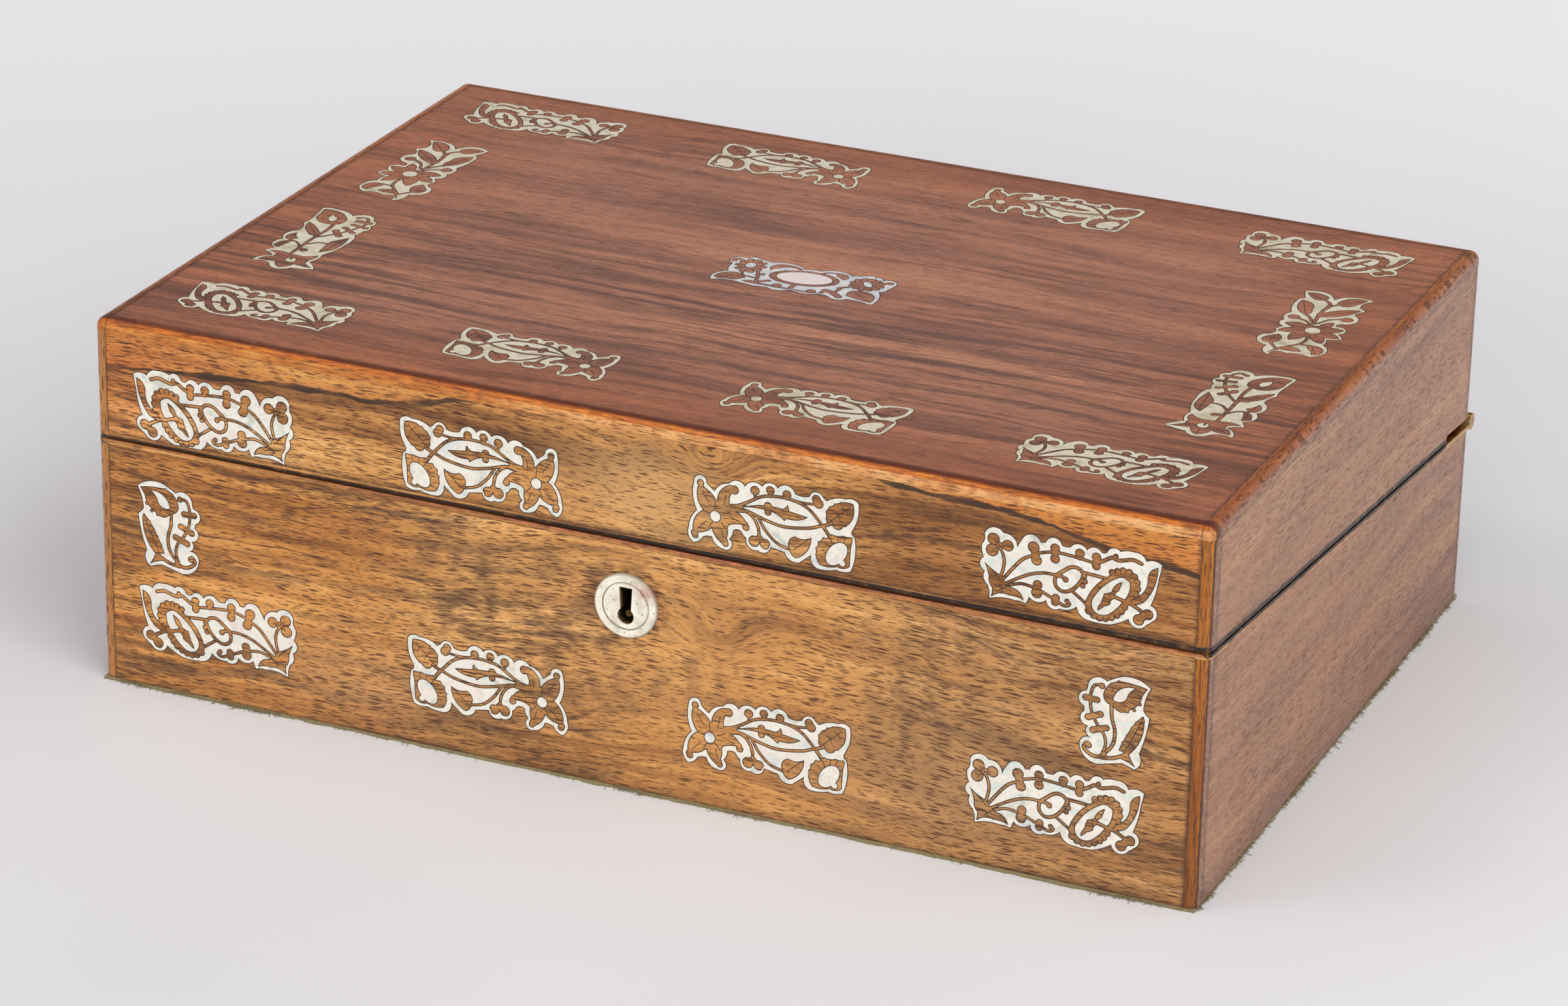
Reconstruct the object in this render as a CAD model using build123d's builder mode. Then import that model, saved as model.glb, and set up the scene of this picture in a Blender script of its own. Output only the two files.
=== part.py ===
# A folding writing box: a veneered case, split on a slant so that it opens into a writing slope.
# Millimetres. The origin is the centre of the underside, +X is right, +Y is back, +Z is up.
from build123d import *
from math import atan2, cos, pi, radians, sin, tan
import os

os.makedirs("parts", exist_ok=True)

# Overall size
box_w = 350.0
box_d = 240.0
box_h = 117.0

# Walls, boards and skins
baize_t = 1.0
veneer_t = 1.2
board_t = 8.8
bottom_t = 6.0
top_board_t = 6.0
strip_w = 4.0
strip_round = 3.0
facing_t = 1.6
mitre_line = 0.1
foot_round = 1.0

# The slanted joint between base and lid, and the hinge axis that lies in it
front_split = 79.4
rim_gap = 0.8
axis_rise = 0.3

# Main hinges
knuckle_r = 2.6
hinge_pin_r = 1.0
hinge_leaf_l = 24.0
hinge_leaf_t = 1.2
hinge_inset = 2.0
knuckle_end = 3.2
knuckle_gap = 0.3
pin_clear = 0.1
back_clear = 0.4

# Screws
screw_head_r = 2.0
screw_head_h = 1.1
screw_shank_r = 1.0
screw_l = 8.0
screw_slot_w = 0.5
screw_slot_d = 0.4

# Inside: compartment strip, partitions, divider
divider_t = 6.0
partition_t = 4.0
bottle_clear_x = 2.0
bottle_clear_y = 5.0
cap_headroom = 7.15
tray_t = 16.0
tray_drop = 8.0
trough_margin = 6.0
trough_depth = 11.0
trough_round = 9.0

# Ink bottles
bottle_w = 42.0
bottle_wall = 4.0
bottle_floor = 5.0
bottle_round = 3.0
neck_r = 11.0
neck_h = 7.0
neck_wall = 3.0
collar_w = 3.0
collar_h = 2.5
cap_wall = 2.2
cap_h = 9.0
cap_band_h = 6.0
cap_round = 2.0
cap_clear = 0.3
knurl_count = 36
knurl_r = 0.5

# Writing flaps
flap_drop = 1.5
flap_t = 6.0
flap_clear = 0.8
flap_seat = 0.3
ledge_w = 8.0
ledge_h = 6.0
rail_w = 9.0
rail_h = 12.0
front_rail_w = 12.0
leather_t = 0.8
leather_margin = 14.0
tab_w = 14.0
tab_l = 10.0
tab_t = 0.8
lower_tab_x = 47.5

# Flap hinges
flap_knuckle_r = 1.3
flap_pin_r = 0.5
flap_leaf_w = 20.0
flap_leaf_l = 8.0
flap_leaf_t = 0.8
flap_knuckle_end = 6.0
flap_knuckle_clear = 0.4
flap_hinge_in = 70.0

# Turn button on the lid's front rail
button_w = 6.0
button_l = 16.0
button_t = 1.0
button_lift = 0.3
button_pin_r = 1.0
button_pin_l = 4.0
button_head_r = 2.2
button_head_t = 0.4

# Lock
lock_x = -1.0
lock_d = 7.2
lock_wall = 0.9
lock_low = 46.0
rim_plate_w = 8.0
rim_plate_ear = 7.0
link_spread = 12.0
link_t = 2.0
link_w = 3.8
link_drop = 8.0
link_eye_w = 2.0
link_eye_h = 3.6
link_eye_low = 0.8
link_clear = 0.5
bolt_throw = 5.0
bolt_end_clear = 0.6
bolt_t = 3.0
bolt_h = 7.0
bolt_arm_w = 3.0
bolt_finger_t = 1.1
bolt_finger_h = 2.6
talon_w = 5.0
talon_h = 2.5

# Escutcheon and keyhole
escutcheon_r = 10.0
escutcheon_z = 59.2
escutcheon_proud = 1.0
escutcheon_let_in = 1.0
escutcheon_rim = 0.5
ring_r = 7.2
ring_w = 0.35
ring_depth = 0.25
key_round_r = 2.6
key_round_drop = 3.1
key_slot_low = 3.3
key_slot_high = 4.2
key_slot_top = 5.8
drill_pin_r = 1.0

# Pearl plates
pearl_t = 0.7
corner_plate_h = 22.5
side_plate_h = 53.0

# Worked out from the sizes above
wall_t = board_t + veneer_t
half_w = box_w / 2
half_d = box_d / 2
in_w = half_w - wall_t
in_d = half_d - wall_t
floor_z = baize_t + bottom_t
roof_z = box_h - veneer_t - top_board_t
strip_z = box_h - strip_w
axis_y = half_d + knuckle_r + back_clear
axis_z = box_h / 2 + axis_rise
slope = atan2(front_split - axis_z, half_d + axis_y)
rim_n = rim_gap / 2
facing_n = rim_n + facing_t
flap_n = rim_n + flap_drop
flap_back_n = flap_n + flap_t
ledge_n = flap_back_n + ledge_h
ink_space = bottle_w + 2 * bottle_clear_x
strip_depth = bottle_w + 2 * bottle_clear_y
divider_y = -in_d + strip_depth
divider_back_y = divider_y + divider_t
rail_y = in_d - rail_w
flap_hinge_gap = 2 * (flap_knuckle_r + flap_knuckle_clear)
flap_hinge_x = in_w - flap_hinge_in
flap_end_y = rail_y - flap_hinge_gap
front_rail_y = -in_d + front_rail_w
neck_bore_r = neck_r - neck_wall
collar_r = neck_r + collar_w
cap_r = neck_r + cap_clear + cap_wall
lock_w = 2 * (link_spread + link_t / 2 + link_clear + bolt_throw + bolt_arm_w + bolt_end_clear + lock_wall)
rim_plate_l = lock_w + 2 * rim_plate_ear

# The plane of the slanted joint: x is right, y runs down to the hinge axis, z is square to the joint.
slope_plane = Plane(origin=(0, axis_y, axis_z), x_dir=(1, 0, 0), z_dir=(0, sin(slope), cos(slope)))


def joint_z(y, n):
    """Height at depth y of the plane that lies n above the middle of the slanted joint."""
    return axis_z + (axis_y - y) * tan(slope) + n / cos(slope)


def along(y, n):
    """Distance along the slanted joint, from the hinge axis, of the point at depth y and height n."""
    return (y - axis_y - n * sin(slope)) / cos(slope)


def block(x0, x1, y0, y1, z0, z1, mode=Mode.ADD):
    """A box between two corners."""
    with Locations(((x0 + x1) / 2, (y0 + y1) / 2, (z0 + z1) / 2)):
        Box(x1 - x0, y1 - y0, z1 - z0, mode=mode)


def below_joint(n):
    """Keeps what lies below the plane n over the joint."""
    split(bisect_by=slope_plane.offset(n), keep=Keep.BOTTOM)


def above_joint(n):
    """Keeps what lies above the plane n over the joint."""
    split(bisect_by=slope_plane.offset(n), keep=Keep.TOP)


def save(piece, name):
    piece.part.label = name
    export_step(piece.part, "parts/" + name + ".step")


# Tools that cut the hinge beds, made once and taken out of every piece they meet.
bed_start = along(half_d - hinge_leaf_l, 0)
with BuildPart(slope_plane) as base_hinge_bed:
    for side in (-1, 1):
        edge = side * half_w
        inner = side * in_w
        block(min(edge, inner), max(edge, inner), bed_start, 0, -rim_n - hinge_leaf_t, 0)

with BuildPart(slope_plane) as lid_hinge_bed:
    for side in (-1, 1):
        edge = side * half_w
        inner = side * in_w
        block(min(edge, inner), max(edge, inner), bed_start, 0, 0, knuckle_r)


# Screws: one countersunk shape, used for the screws and for the holes that they fill. way is +1 for a
# screw that goes up into the lid and -1 for one that goes down into the base.
def screw_shape(x, u, n, way):
    """A countersunk screw with its head at height n."""
    turn = (0, 0, 0) if way > 0 else (180, 0, 0)
    shank_l = screw_l - screw_head_h
    with Locations((x, u, n + way * screw_head_h / 2)):
        Cone(screw_head_r, screw_shank_r, screw_head_h, rotation=turn)
    with Locations((x, u, n + way * (screw_head_h + shank_l / 2))):
        Cylinder(screw_shank_r, shank_l)


def screw_slot(x, u, n, way):
    """The slot across a screw's head."""
    with Locations((x, u, n + way * screw_slot_d / 2)):
        Box(2 * screw_head_r, screw_slot_w, screw_slot_d, mode=Mode.SUBTRACT)


hinge_screw_x = half_w - wall_t / 2
hinge_screw_us = [along(half_d - hinge_leaf_l * share, 0) for share in (0.3, 0.75)]
plate_u = along(-in_d - rim_plate_w / 2, 0)
plate_screw_xs = [lock_x + side * (rim_plate_l - rim_plate_ear) / 2 for side in (-1, 1)]
base_screws_at = [(s * hinge_screw_x, u) for s in (-1, 1) for u in hinge_screw_us]
base_screws_at += [(x, plate_u) for x in plate_screw_xs]
lid_hinge_screws_at = [(s * hinge_screw_x, u) for s in (-1, 1) for u in hinge_screw_us]
link_screws_at = [(x, plate_u) for x in plate_screw_xs]

with BuildPart(slope_plane) as base_screw_holes:
    for x, u in base_screws_at:
        screw_shape(x, u, -rim_n, -1)

with BuildPart(slope_plane) as lid_screw_holes:
    for x, u in lid_hinge_screws_at:
        screw_shape(x, u, knuckle_r - hinge_leaf_t, 1)
    for x, u in link_screws_at:
        screw_shape(x, u, rim_n, 1)

with BuildPart(slope_plane) as base_screws:
    for x, u in base_screws_at:
        screw_shape(x, u, -rim_n, -1)
        screw_slot(x, u, -rim_n, -1)
save(base_screws, "base_screws")

with BuildPart(slope_plane) as lid_screws:
    for x, u in lid_hinge_screws_at:
        screw_shape(x, u, knuckle_r - hinge_leaf_t, 1)
        screw_slot(x, u, knuckle_r - hinge_leaf_t, 1)
    for x, u in link_screws_at:
        screw_shape(x, u, rim_n, 1)
        screw_slot(x, u, rim_n, 1)
save(lid_screws, "lid_screws")

# Keyhole: a round end below a slot that widens upwards, cut through everything in front of the lock.
key_z = escutcheon_z - key_round_drop
key_top_z = escutcheon_z + key_slot_top
with BuildPart() as keyhole_cut:
    with BuildSketch(Plane.XZ.offset(in_d + lock_wall)):
        with Locations((lock_x, key_z)):
            Circle(key_round_r)
        with BuildLine():
            Polyline(
                (lock_x - key_slot_low / 2, key_z),
                (lock_x + key_slot_low / 2, key_z),
                (lock_x + key_slot_high / 2, key_top_z),
                (lock_x - key_slot_high / 2, key_top_z),
                close=True,
            )
        make_face()
    extrude(amount=wall_t)

# Lock bed: the case is let into the front wall from inside, its rim plate into the rim.
case_front_y = -in_d - lock_d
plate_front_u = along(-in_d - rim_plate_w, -rim_n)
plate_back_u = along(-in_d, facing_n)
bed_back_u = along(-in_d + wall_t, 0)
with BuildPart() as lock_case_blank:
    block(lock_x - lock_w / 2, lock_x + lock_w / 2, case_front_y, -in_d, lock_low, box_h)
    below_joint(-facing_n)
with BuildPart(slope_plane) as rim_plate_blank:
    block(
        lock_x - rim_plate_l / 2, lock_x + rim_plate_l / 2, plate_front_u, plate_back_u, -facing_n, -rim_n
    )
with BuildPart(slope_plane) as rim_plate_bed:
    block(
        lock_x - rim_plate_l / 2, lock_x + rim_plate_l / 2, plate_front_u, bed_back_u, -facing_n, facing_n
    )
with BuildPart(slope_plane) as link_plate_blank:
    block(
        lock_x - rim_plate_l / 2, lock_x + rim_plate_l / 2, plate_front_u, plate_back_u, rim_n, facing_n
    )

# Pearl plates. Each figure is drawn about its own middle as arcs through three points.
# An outline lists corner, middle of arc, corner, middle of arc and so on, and closes on its first corner.


def arcs(points, mode=Mode.ADD):
    """A closed face bounded by arcs."""
    count = len(points)
    with BuildLine() as edge:
        for i in range(0, count, 2):
            ThreePointArc(points[i], points[i + 1], points[(i + 2) % count])
    make_face(edge.line, mode=mode)


def plate(outline, leaves, discs, islands):
    """A pearl plate: its outline, pierced by leaves and discs, with small islands left inside them."""
    arcs(outline)
    for leaf in leaves:
        arcs(leaf, Mode.SUBTRACT)
    for x, y, r in discs:
        with Locations((x, y)):
            Circle(r, mode=Mode.SUBTRACT)
    for x, y, a, b, turn in islands:
        with Locations((x, y)):
            Ellipse(a, b, rotation=turn)


with BuildSketch() as corner_plate:
    plate(
        outline=[
            (-26.4, 8.8), (-24.2, 9.6), (-21.8, 9.0), (-19.2, 11.1), (-14.2, 10.5), (-12.3, 11.2),
            (-9.6, 9.1), (-7.0, 10.3), (-4.5, 9.0), (-2.1, 10.4), (0.4, 9.0), (1.7, 8.8),
            (2.9, 9.0), (5.2, 10.9), (7.7, 9.0), (11.9, 10.7), (14.9, 8.0), (15.7, 7.0),
            (16.0, 5.9), (17.0, 8.4), (20.2, 9.4), (23.3, 10.6), (25.8, 8.2), (25.7, 6.5),
            (26.5, 5.0), (26.4, 2.9), (25.8, 1.2), (26.6, -0.6), (25.4, -2.9), (25.7, -5.0),
            (24.4, -6.9), (23.8, -9.1), (23.8, -11.0), (20.2, -10.0), (16.1, -10.1), (14.4, -10.0),
            (12.9, -10.5), (12.4, -9.4), (12.0, -8.2), (9.5, -9.3), (6.9, -8.1), (4.9, -10.5),
            (2.0, -9.8), (-0.1, -9.6), (-2.1, -8.4), (-3.3, -10.7), (-6.2, -11.6), (-9.2, -11.8),
            (-12.0, -11.6), (-15.4, -10.3), (-17.4, -9.0), (-19.6, -11.2), (-23.0, -9.6), (-25.5, -7.2),
            (-23.8, -3.8), (-25.0, 0.4), (-25.6, 4.7), (-26.1, 6.8),
        ],
        leaves=[
            [
                (-25.2, 8.1), (-24.2, 2.6), (-21.7, -2.8), (-19.8, -3.4), (-18.0, -3.8), (-18.9, -3.0),
                (-19.8, -1.8), (-21.4, 1.4), (-22.3, 3.8), (-23.1, 6.8),
            ],
            [
                (20.2, -3.4), (22.9, -2.2), (25.2, -0.8), (24.4, -2.4), (24.1, -4.4), (23.6, -6.2),
                (23.0, -7.6), (22.8, -8.6), (22.4, -9.4), (20.4, -8.9), (17.9, -8.8), (15.5, -8.5),
                (13.9, -9.0), (15.0, -6.6), (17.9, -5.6), (19.1, -4.7),
            ],
        ],
        discs=[
            (-23.0, -6.4, 1.4), (-20.5, -8.2, 1.5), (-7.3, 7.4, 1.3), (-7.4, 5.2, 1.3), (-2.3, 7.8, 1.3),
            (5.1, 8.2, 1.3), (4.8, 5.0, 1.4), (11.3, 7.4, 1.6), (10.2, 3.7, 1.5), (19.1, 6.2, 1.7),
            (22.9, 7.6, 1.8), (23.2, 4.1, 1.9), (-11.9, -2.7, 6.0), (0.3, -0.1, 3.9), (4.3, -7.4, 1.5),
            (9.6, -3.9, 1.3), (9.8, -6.2, 1.5),
        ],
        islands=[(-11.9, -2.7, 4.6, 3.2, -50), (0.5, 0.1, 2.8, 2.2, -50)],
    )

with BuildSketch() as lens_plate:
    plate(
        outline=[
            (-25.5, 10.0), (-22.5, 10.8), (-15.9, 9.1), (-12.7, 11.2), (-10.6, 9.4), (-8.4, 9.0),
            (-6.2, 9.4), (-3.6, 11.5), (-0.9, 10.1), (1.4, 11.3), (3.9, 9.7), (6.4, 10.5),
            (9.2, 8.7), (11.7, 10.1), (14.1, 8.7), (17.0, 7.6), (18.5, 5.6), (19.8, 6.5),
            (21.0, 7.6), (23.0, 9.7), (24.9, 7.6), (25.2, 3.2), (23.9, -1.2), (25.7, -3.8),
            (26.4, -6.8), (26.4, -9.4), (24.9, -11.3), (23.2, -10.6), (22.0, -9.1), (20.5, -8.5),
            (19.1, -8.5), (17.9, -10.6), (15.5, -11.4), (13.4, -10.6), (13.8, -8.2), (13.2, -6.6),
            (12.6, -5.3), (11.2, -4.9), (9.9, -5.3), (9.4, -6.2), (8.5, -6.8), (8.0, -9.1),
            (4.9, -10.0), (2.7, -10.2), (1.0, -8.2), (-0.9, -8.5), (-3.4, -9.0), (-5.4, -11.0),
            (-8.0, -11.2), (-10.3, -9.8), (-11.5, -8.2), (-11.8, -10.4), (-13.3, -11.6), (-16.2, -11.9),
            (-19.2, -11.2), (-21.5, -11.4), (-23.6, -10.9), (-24.9, -5.6), (-24.5, -0.3), (-24.2, 0.7),
            (-23.6, 1.2), (-24.6, 3.0), (-25.2, 4.7), (-25.6, 7.4),
        ],
        leaves=[
            [
                (-24.0, 9.6), (-20.9, 9.7), (-18.0, 8.2), (-16.2, 6.5), (-15.8, 4.4), (-16.4, 2.9),
                (-17.7, 2.1), (-19.5, 1.3), (-20.9, 2.1), (-23.3, 4.1), (-24.2, 6.8), (-24.3, 8.2),
            ],
            [
                (-23.7, -0.5), (-20.6, -0.7), (-17.4, -0.8), (-16.4, -1.3), (-15.6, -2.2), (-14.1, -3.6),
                (-13.4, -5.3), (-13.0, -7.8), (-14.2, -10.0), (-16.8, -10.7), (-19.5, -10.1), (-21.5, -10.3),
                (-23.1, -9.4), (-23.5, -5.6), (-23.6, -3.2), (-23.7, -1.8),
            ],
            [(-14.6, 1.3), (-3.0, 7.3), (13.0, 1.8), (-3.0, -0.4)],
            [
                (-11.2, -3.1), (-9.0, -3.9), (-6.5, -3.6), (-4.9, -4.8), (-4.9, -7.4), (-5.6, -9.2),
                (-7.2, -9.9), (-10.0, -7.7),
            ],
            [(17.0, -0.5), (13.6, 3.4), (12.6, 6.6), (17.2, 5.4)],
            [(16.8, -0.4), (19.0, 4.2), (22.9, 6.6), (23.6, 2.0)],
            [(20.6, -1.6), (24.0, -4.0), (24.5, -8.6), (20.6, -6.6)],
            [(18.6, -4.6), (18.4, -8.0), (14.9, -9.8), (14.4, -6.0)],
            [(15.0, -4.4), (11.6, -3.8), (8.8, -3.6), (10.4, -0.6)],
        ],
        discs=[
            (-12.9, 8.6, 1.5), (-3.6, 8.5, 1.3), (1.4, 8.8, 1.3), (6.1, 8.0, 1.4), (12.5, 7.0, 1.3),
            (22.9, 7.2, 1.1), (2.7, -7.4, 1.6), (6.1, -7.2, 1.7), (17.8, -1.8, 4.2),
        ],
        islands=[
            (-19.4, -6.0, 3.8, 2.4, -50), (-2.8, 3.4, 9.0, 2.3, 1), (18.2, -2.1, 1.6, 1.9, 0),
        ],
    )

with BuildSketch() as small_plate:
    plate(
        outline=[
            (-10.0, 11.3), (-6.6, 13.2), (-1.9, 13.4), (0.7, 12.3), (2.9, 11.0), (5.6, 11.8),
            (8.4, 8.2), (9.0, 7.2), (10.6, 6.0), (10.9, 4.0), (9.4, 2.2), (9.1, 1.5),
            (9.2, 0.7), (10.3, -1.2), (7.9, -3.6), (8.5, -5.4), (7.0, -7.0), (9.2, -7.4),
            (10.2, -9.8), (8.4, -13.3), (4.2, -14.6), (0.1, -13.6), (-2.5, -13.0), (-4.6, -13.6),
            (-6.2, -14.2), (-7.7, -12.7), (-7.4, -9.2), (-9.1, -3.3), (-10.0, 2.3), (-9.1, 3.4),
            (-8.1, 4.3), (-8.7, 8.2),
        ],
        leaves=[
            [
                (-8.6, 10.7), (-5.8, 11.6), (-2.2, 11.8), (2.3, 9.9), (3.8, 7.0), (3.1, 4.9),
                (1.0, 4.1), (-0.8, 2.8), (-4.0, 3.5), (-6.6, 5.8), (-7.7, 8.4), (-8.0, 9.8),
            ],
            [
                (-8.1, 2.2), (-5.8, -0.1), (-4.0, -3.3), (-2.9, -5.7), (-2.2, -8.8), (-3.3, -9.5),
                (-4.6, -9.3), (-7.3, -5.2), (-8.4, -0.4), (-8.4, 1.2),
            ],
        ],
        discs=[
            (5.9, 4.8, 1.1), (8.9, 4.9, 1.1), (4.8, 0.5, 1.1), (7.9, -0.9, 1.1), (2.9, -3.3, 1.1),
            (6.3, -4.5, 1.1), (4.7, 9.3, 0.9), (7.6, -9.6, 1.3),
        ],
        islands=[(-1.9, 7.8, 3.6, 1.9, -48)],
    )

with BuildSketch() as star_plate:
    plate(
        outline=[
            (-10.3, 25.6), (-6.8, 26.6), (-3.1, 25.4), (-1.2, 23.4), (-0.1, 21.4), (0.9, 23.9),
            (2.8, 25.6), (6.1, 26.6), (9.9, 26.4), (8.0, 22.7), (8.4, 18.9), (9.8, 18.2),
            (10.3, 17.3), (8.9, 15.0), (8.6, 12.3), (10.6, 8.5), (8.2, 5.2), (6.9, 3.4),
            (6.7, 1.0), (9.0, 0.4), (10.1, -0.9), (9.4, -2.4), (8.4, -3.6), (10.2, -5.0),
            (11.0, -6.9), (9.2, -8.2), (6.7, -8.6), (7.8, -11.5), (7.6, -14.4), (10.3, -19.0),
            (7.4, -24.0), (4.0, -23.4), (0.3, -24.0), (-3.1, -24.4), (-4.5, -26.4), (-6.0, -24.4),
            (-5.8, -20.7), (-8.4, -19.9), (-9.7, -13.8), (-8.9, -12.6), (-8.3, -11.0), (-8.9, -9.0),
            (-8.3, -7.3), (-7.3, -5.6), (-6.0, -4.0), (-8.6, -2.6), (-8.3, 0.6), (-9.4, 3.9),
            (-8.5, 7.3), (-9.8, 12.7), (-9.9, 18.5), (-9.3, 19.7), (-8.5, 20.6), (-9.2, 23.1),
        ],
        leaves=[
            [(-9.0, 24.6), (-4.4, 24.6), (-3.4, 20.4), (-7.6, 21.0)],
            [(8.6, 25.4), (3.4, 24.0), (3.4, 19.6), (7.4, 21.2)],
            [(-8.8, 18.2), (-4.4, 13.6), (-3.8, 7.4), (-8.4, 11.8)],
            [(8.8, 17.2), (3.6, 14.8), (-0.6, 8.2), (6.2, 10.4)],
            [(-0.8, 19.6), (0.4, 16.8), (-0.4, 12.6), (-1.2, 16.4)],
            [(-1.2, 6.4), (0.4, 4.6), (0.9, 1.6), (-1.4, 3.6)],
            [(-2.6, -3.2), (-5.2, -1.4), (-7.6, -2.0), (-5.2, -4.2)],
            [(-2.2, -6.6), (-5.4, -6.6), (-7.2, -9.0), (-4.0, -8.8)],
            [(-0.6, -8.0), (-0.4, -11.2), (-2.2, -14.0), (-3.0, -10.8)],
            [(4.0, -7.8), (6.4, -9.8), (6.6, -12.8), (3.8, -11.0)],
            [(5.6, -5.4), (8.2, -5.6), (10.0, -6.9), (7.6, -7.4)],
            [(5.4, -2.2), (7.8, -2.0), (8.9, -0.8), (6.6, -0.2)],
            [(3.0, -0.4), (4.8, 1.4), (5.2, 4.0), (2.4, 2.4)],
            [(-6.8, -12.4), (-5.4, -15.2), (-7.0, -18.4), (-8.6, -15.4)],
            [(5.6, -16.6), (8.6, -17.4), (8.4, -22.0), (5.8, -19.4)],
            [(-3.2, -22.4), (-0.4, -20.2), (3.4, -21.8), (0.2, -22.9)],
        ],
        discs=[(8.0, 8.6, 1.7), (-6.9, 4.1, 1.7), (1.7, -4.2, 4.2)],
        islands=[(1.7, -4.2, 2.4, 2.4, 0)],
    )

with BuildSketch() as tulip_plate:
    plate(
        outline=[
            (-0.6, 22.9), (2.4, 25.0), (6.5, 26.1), (9.0, 26.3), (10.9, 25.8), (10.3, 21.7),
            (9.7, 17.5), (9.6, 14.6), (9.9, 11.7), (8.7, 8.3), (8.2, 5.0), (10.2, 0.8),
            (8.6, -3.3), (9.9, -6.9), (7.6, -10.8), (8.8, -12.2), (9.2, -14.2), (6.8, -15.6),
            (5.2, -17.5), (7.6, -19.6), (8.6, -22.7), (5.7, -22.3), (2.4, -23.8), (-1.0, -26.1),
            (-4.3, -23.8), (-7.6, -23.4), (-10.8, -22.1), (-9.2, -19.4), (-6.8, -17.5), (-7.9, -14.2),
            (-7.6, -10.4), (-9.3, -5.4), (-9.9, 0.0), (-10.1, 2.9), (-9.7, 5.8), (-9.2, 7.5),
            (-8.3, 8.8), (-9.0, 11.0), (-9.1, 13.3), (-10.1, 15.6), (-8.9, 17.9), (-9.5, 20.4),
            (-7.6, 22.5), (-4.7, 25.6), (-1.8, 24.6), (-1.1, 23.8),
        ],
        leaves=[
            [
                (9.6, 24.9), (5.7, 25.0), (1.5, 22.5), (-0.4, 18.8), (-0.1, 15.4), (2.8, 14.0),
                (6.5, 14.6), (8.8, 17.5),
            ],
            [(9.0, 13.0), (4.6, 10.4), (2.4, 3.6), (7.2, 7.2)],
            [(1.9, 12.6), (1.5, 0.0), (2.0, -14.6), (0.6, 0.0)],
            [(-8.4, 6.0), (-5.4, 2.4), (-5.9, -8.4), (-8.9, -1.0)],
            [(8.0, 2.8), (8.8, -0.4), (7.0, -2.6), (6.0, 0.0)],
            [(5.6, -3.8), (8.6, -5.4), (7.8, -9.8), (6.4, -6.8)],
            [(-7.0, 21.2), (-6.6, 16.0), (-3.6, 8.8), (-6.4, 14.4)],
            [(-2.6, -14.6), (-5.6, -13.0), (-6.6, -13.6), (-6.0, -16.6)],
            [(-4.0, -17.4), (-6.8, -18.6), (-9.2, -21.6), (-4.6, -22.0)],
            [(-3.6, -20.6), (-3.2, -23.4), (1.0, -23.0), (0.8, -20.6)],
            [(1.4, -19.4), (5.0, -19.6), (7.4, -21.6), (3.0, -21.6)],
            [(1.4, -16.2), (3.4, -14.2), (7.6, -14.4), (4.4, -16.6)],
        ],
        discs=[
            (-8.2, 20.2, 0.9), (-4.9, 20.2, 1.0), (-8.4, 15.7, 0.9), (-5.2, 16.6, 0.9), (-4.2, 13.2, 0.9),
            (-2.7, 8.8, 1.2), (-0.9, -9.3, 1.2), (-1.4, -18.3, 3.2),
        ],
        islands=[(4.4, 19.2, 1.2, 2.8, -20), (-1.4, -18.3, 1.7, 1.5, 0)],
    )

with BuildSketch() as oval_plate:
    plate(
        outline=[
            (-26.7, 7.4), (-25.3, 8.9), (-22.0, 8.9), (-20.9, 10.2), (-18.4, 9.8), (-16.6, 9.9),
            (-14.7, 9.0), (-13.6, 9.2), (-12.7, 9.9), (-8.0, 10.5), (-2.9, 8.2), (-0.6, 8.9),
            (2.1, 8.9), (7.7, 11.2), (12.1, 9.3), (13.2, 10.0), (14.4, 10.1), (15.4, 11.2),
            (16.6, 11.2), (17.7, 12.0), (18.9, 11.1), (20.3, 11.4), (21.6, 9.9), (24.4, 10.9),
            (26.7, 8.3), (26.5, 5.7), (25.9, 3.6), (25.5, 2.0), (24.1, 1.0), (26.0, -3.1),
            (26.5, -7.9), (25.9, -9.4), (24.4, -9.6), (20.9, -8.9), (18.0, -8.7), (15.6, -10.2),
            (12.7, -9.7), (10.9, -8.9), (8.9, -8.7), (5.3, -10.0), (-0.3, -9.0), (-3.4, -10.6),
            (-7.3, -10.3), (-9.7, -10.8), (-12.0, -10.9), (-14.4, -10.3), (-16.7, -10.2), (-21.1, -10.1),
            (-25.3, -11.5), (-26.4, -9.0), (-25.6, -5.2), (-24.8, -4.0), (-23.6, -2.9), (-24.9, 0.3),
            (-24.9, 3.3), (-26.1, 4.9),
        ],
        leaves=[
            [(-24.8, -9.2), (-22.6, -4.0), (-17.2, -5.2), (-19.8, -8.8)],
            [(25.2, -8.0), (23.4, -2.6), (17.6, -2.2), (18.6, -6.8)],
            [(-12.4, 5.6), (-11.6, 8.0), (-8.0, 9.0), (-9.8, 6.8)],
            [(11.0, 5.4), (10.8, 8.4), (6.4, 9.6), (8.4, 7.2)],
        ],
        discs=[
            (-19.4, 3.9, 4.4), (18.4, 4.8, 5.0), (24.2, 8.4, 1.2), (-25.2, 6.6, 1.0), (-5.6, -8.4, 1.2),
            (5.8, -8.0, 1.3), (-12.4, -7.2, 1.3), (12.0, -6.6, 1.4),
        ],
        islands=[(-19.4, 3.9, 1.7, 2.2, 0), (18.4, 4.8, 2.0, 1.4, -35)],
    )
    Ellipse(11.0, 6.4, mode=Mode.SUBTRACT)
    Ellipse(8.5, 4.7)

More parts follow.
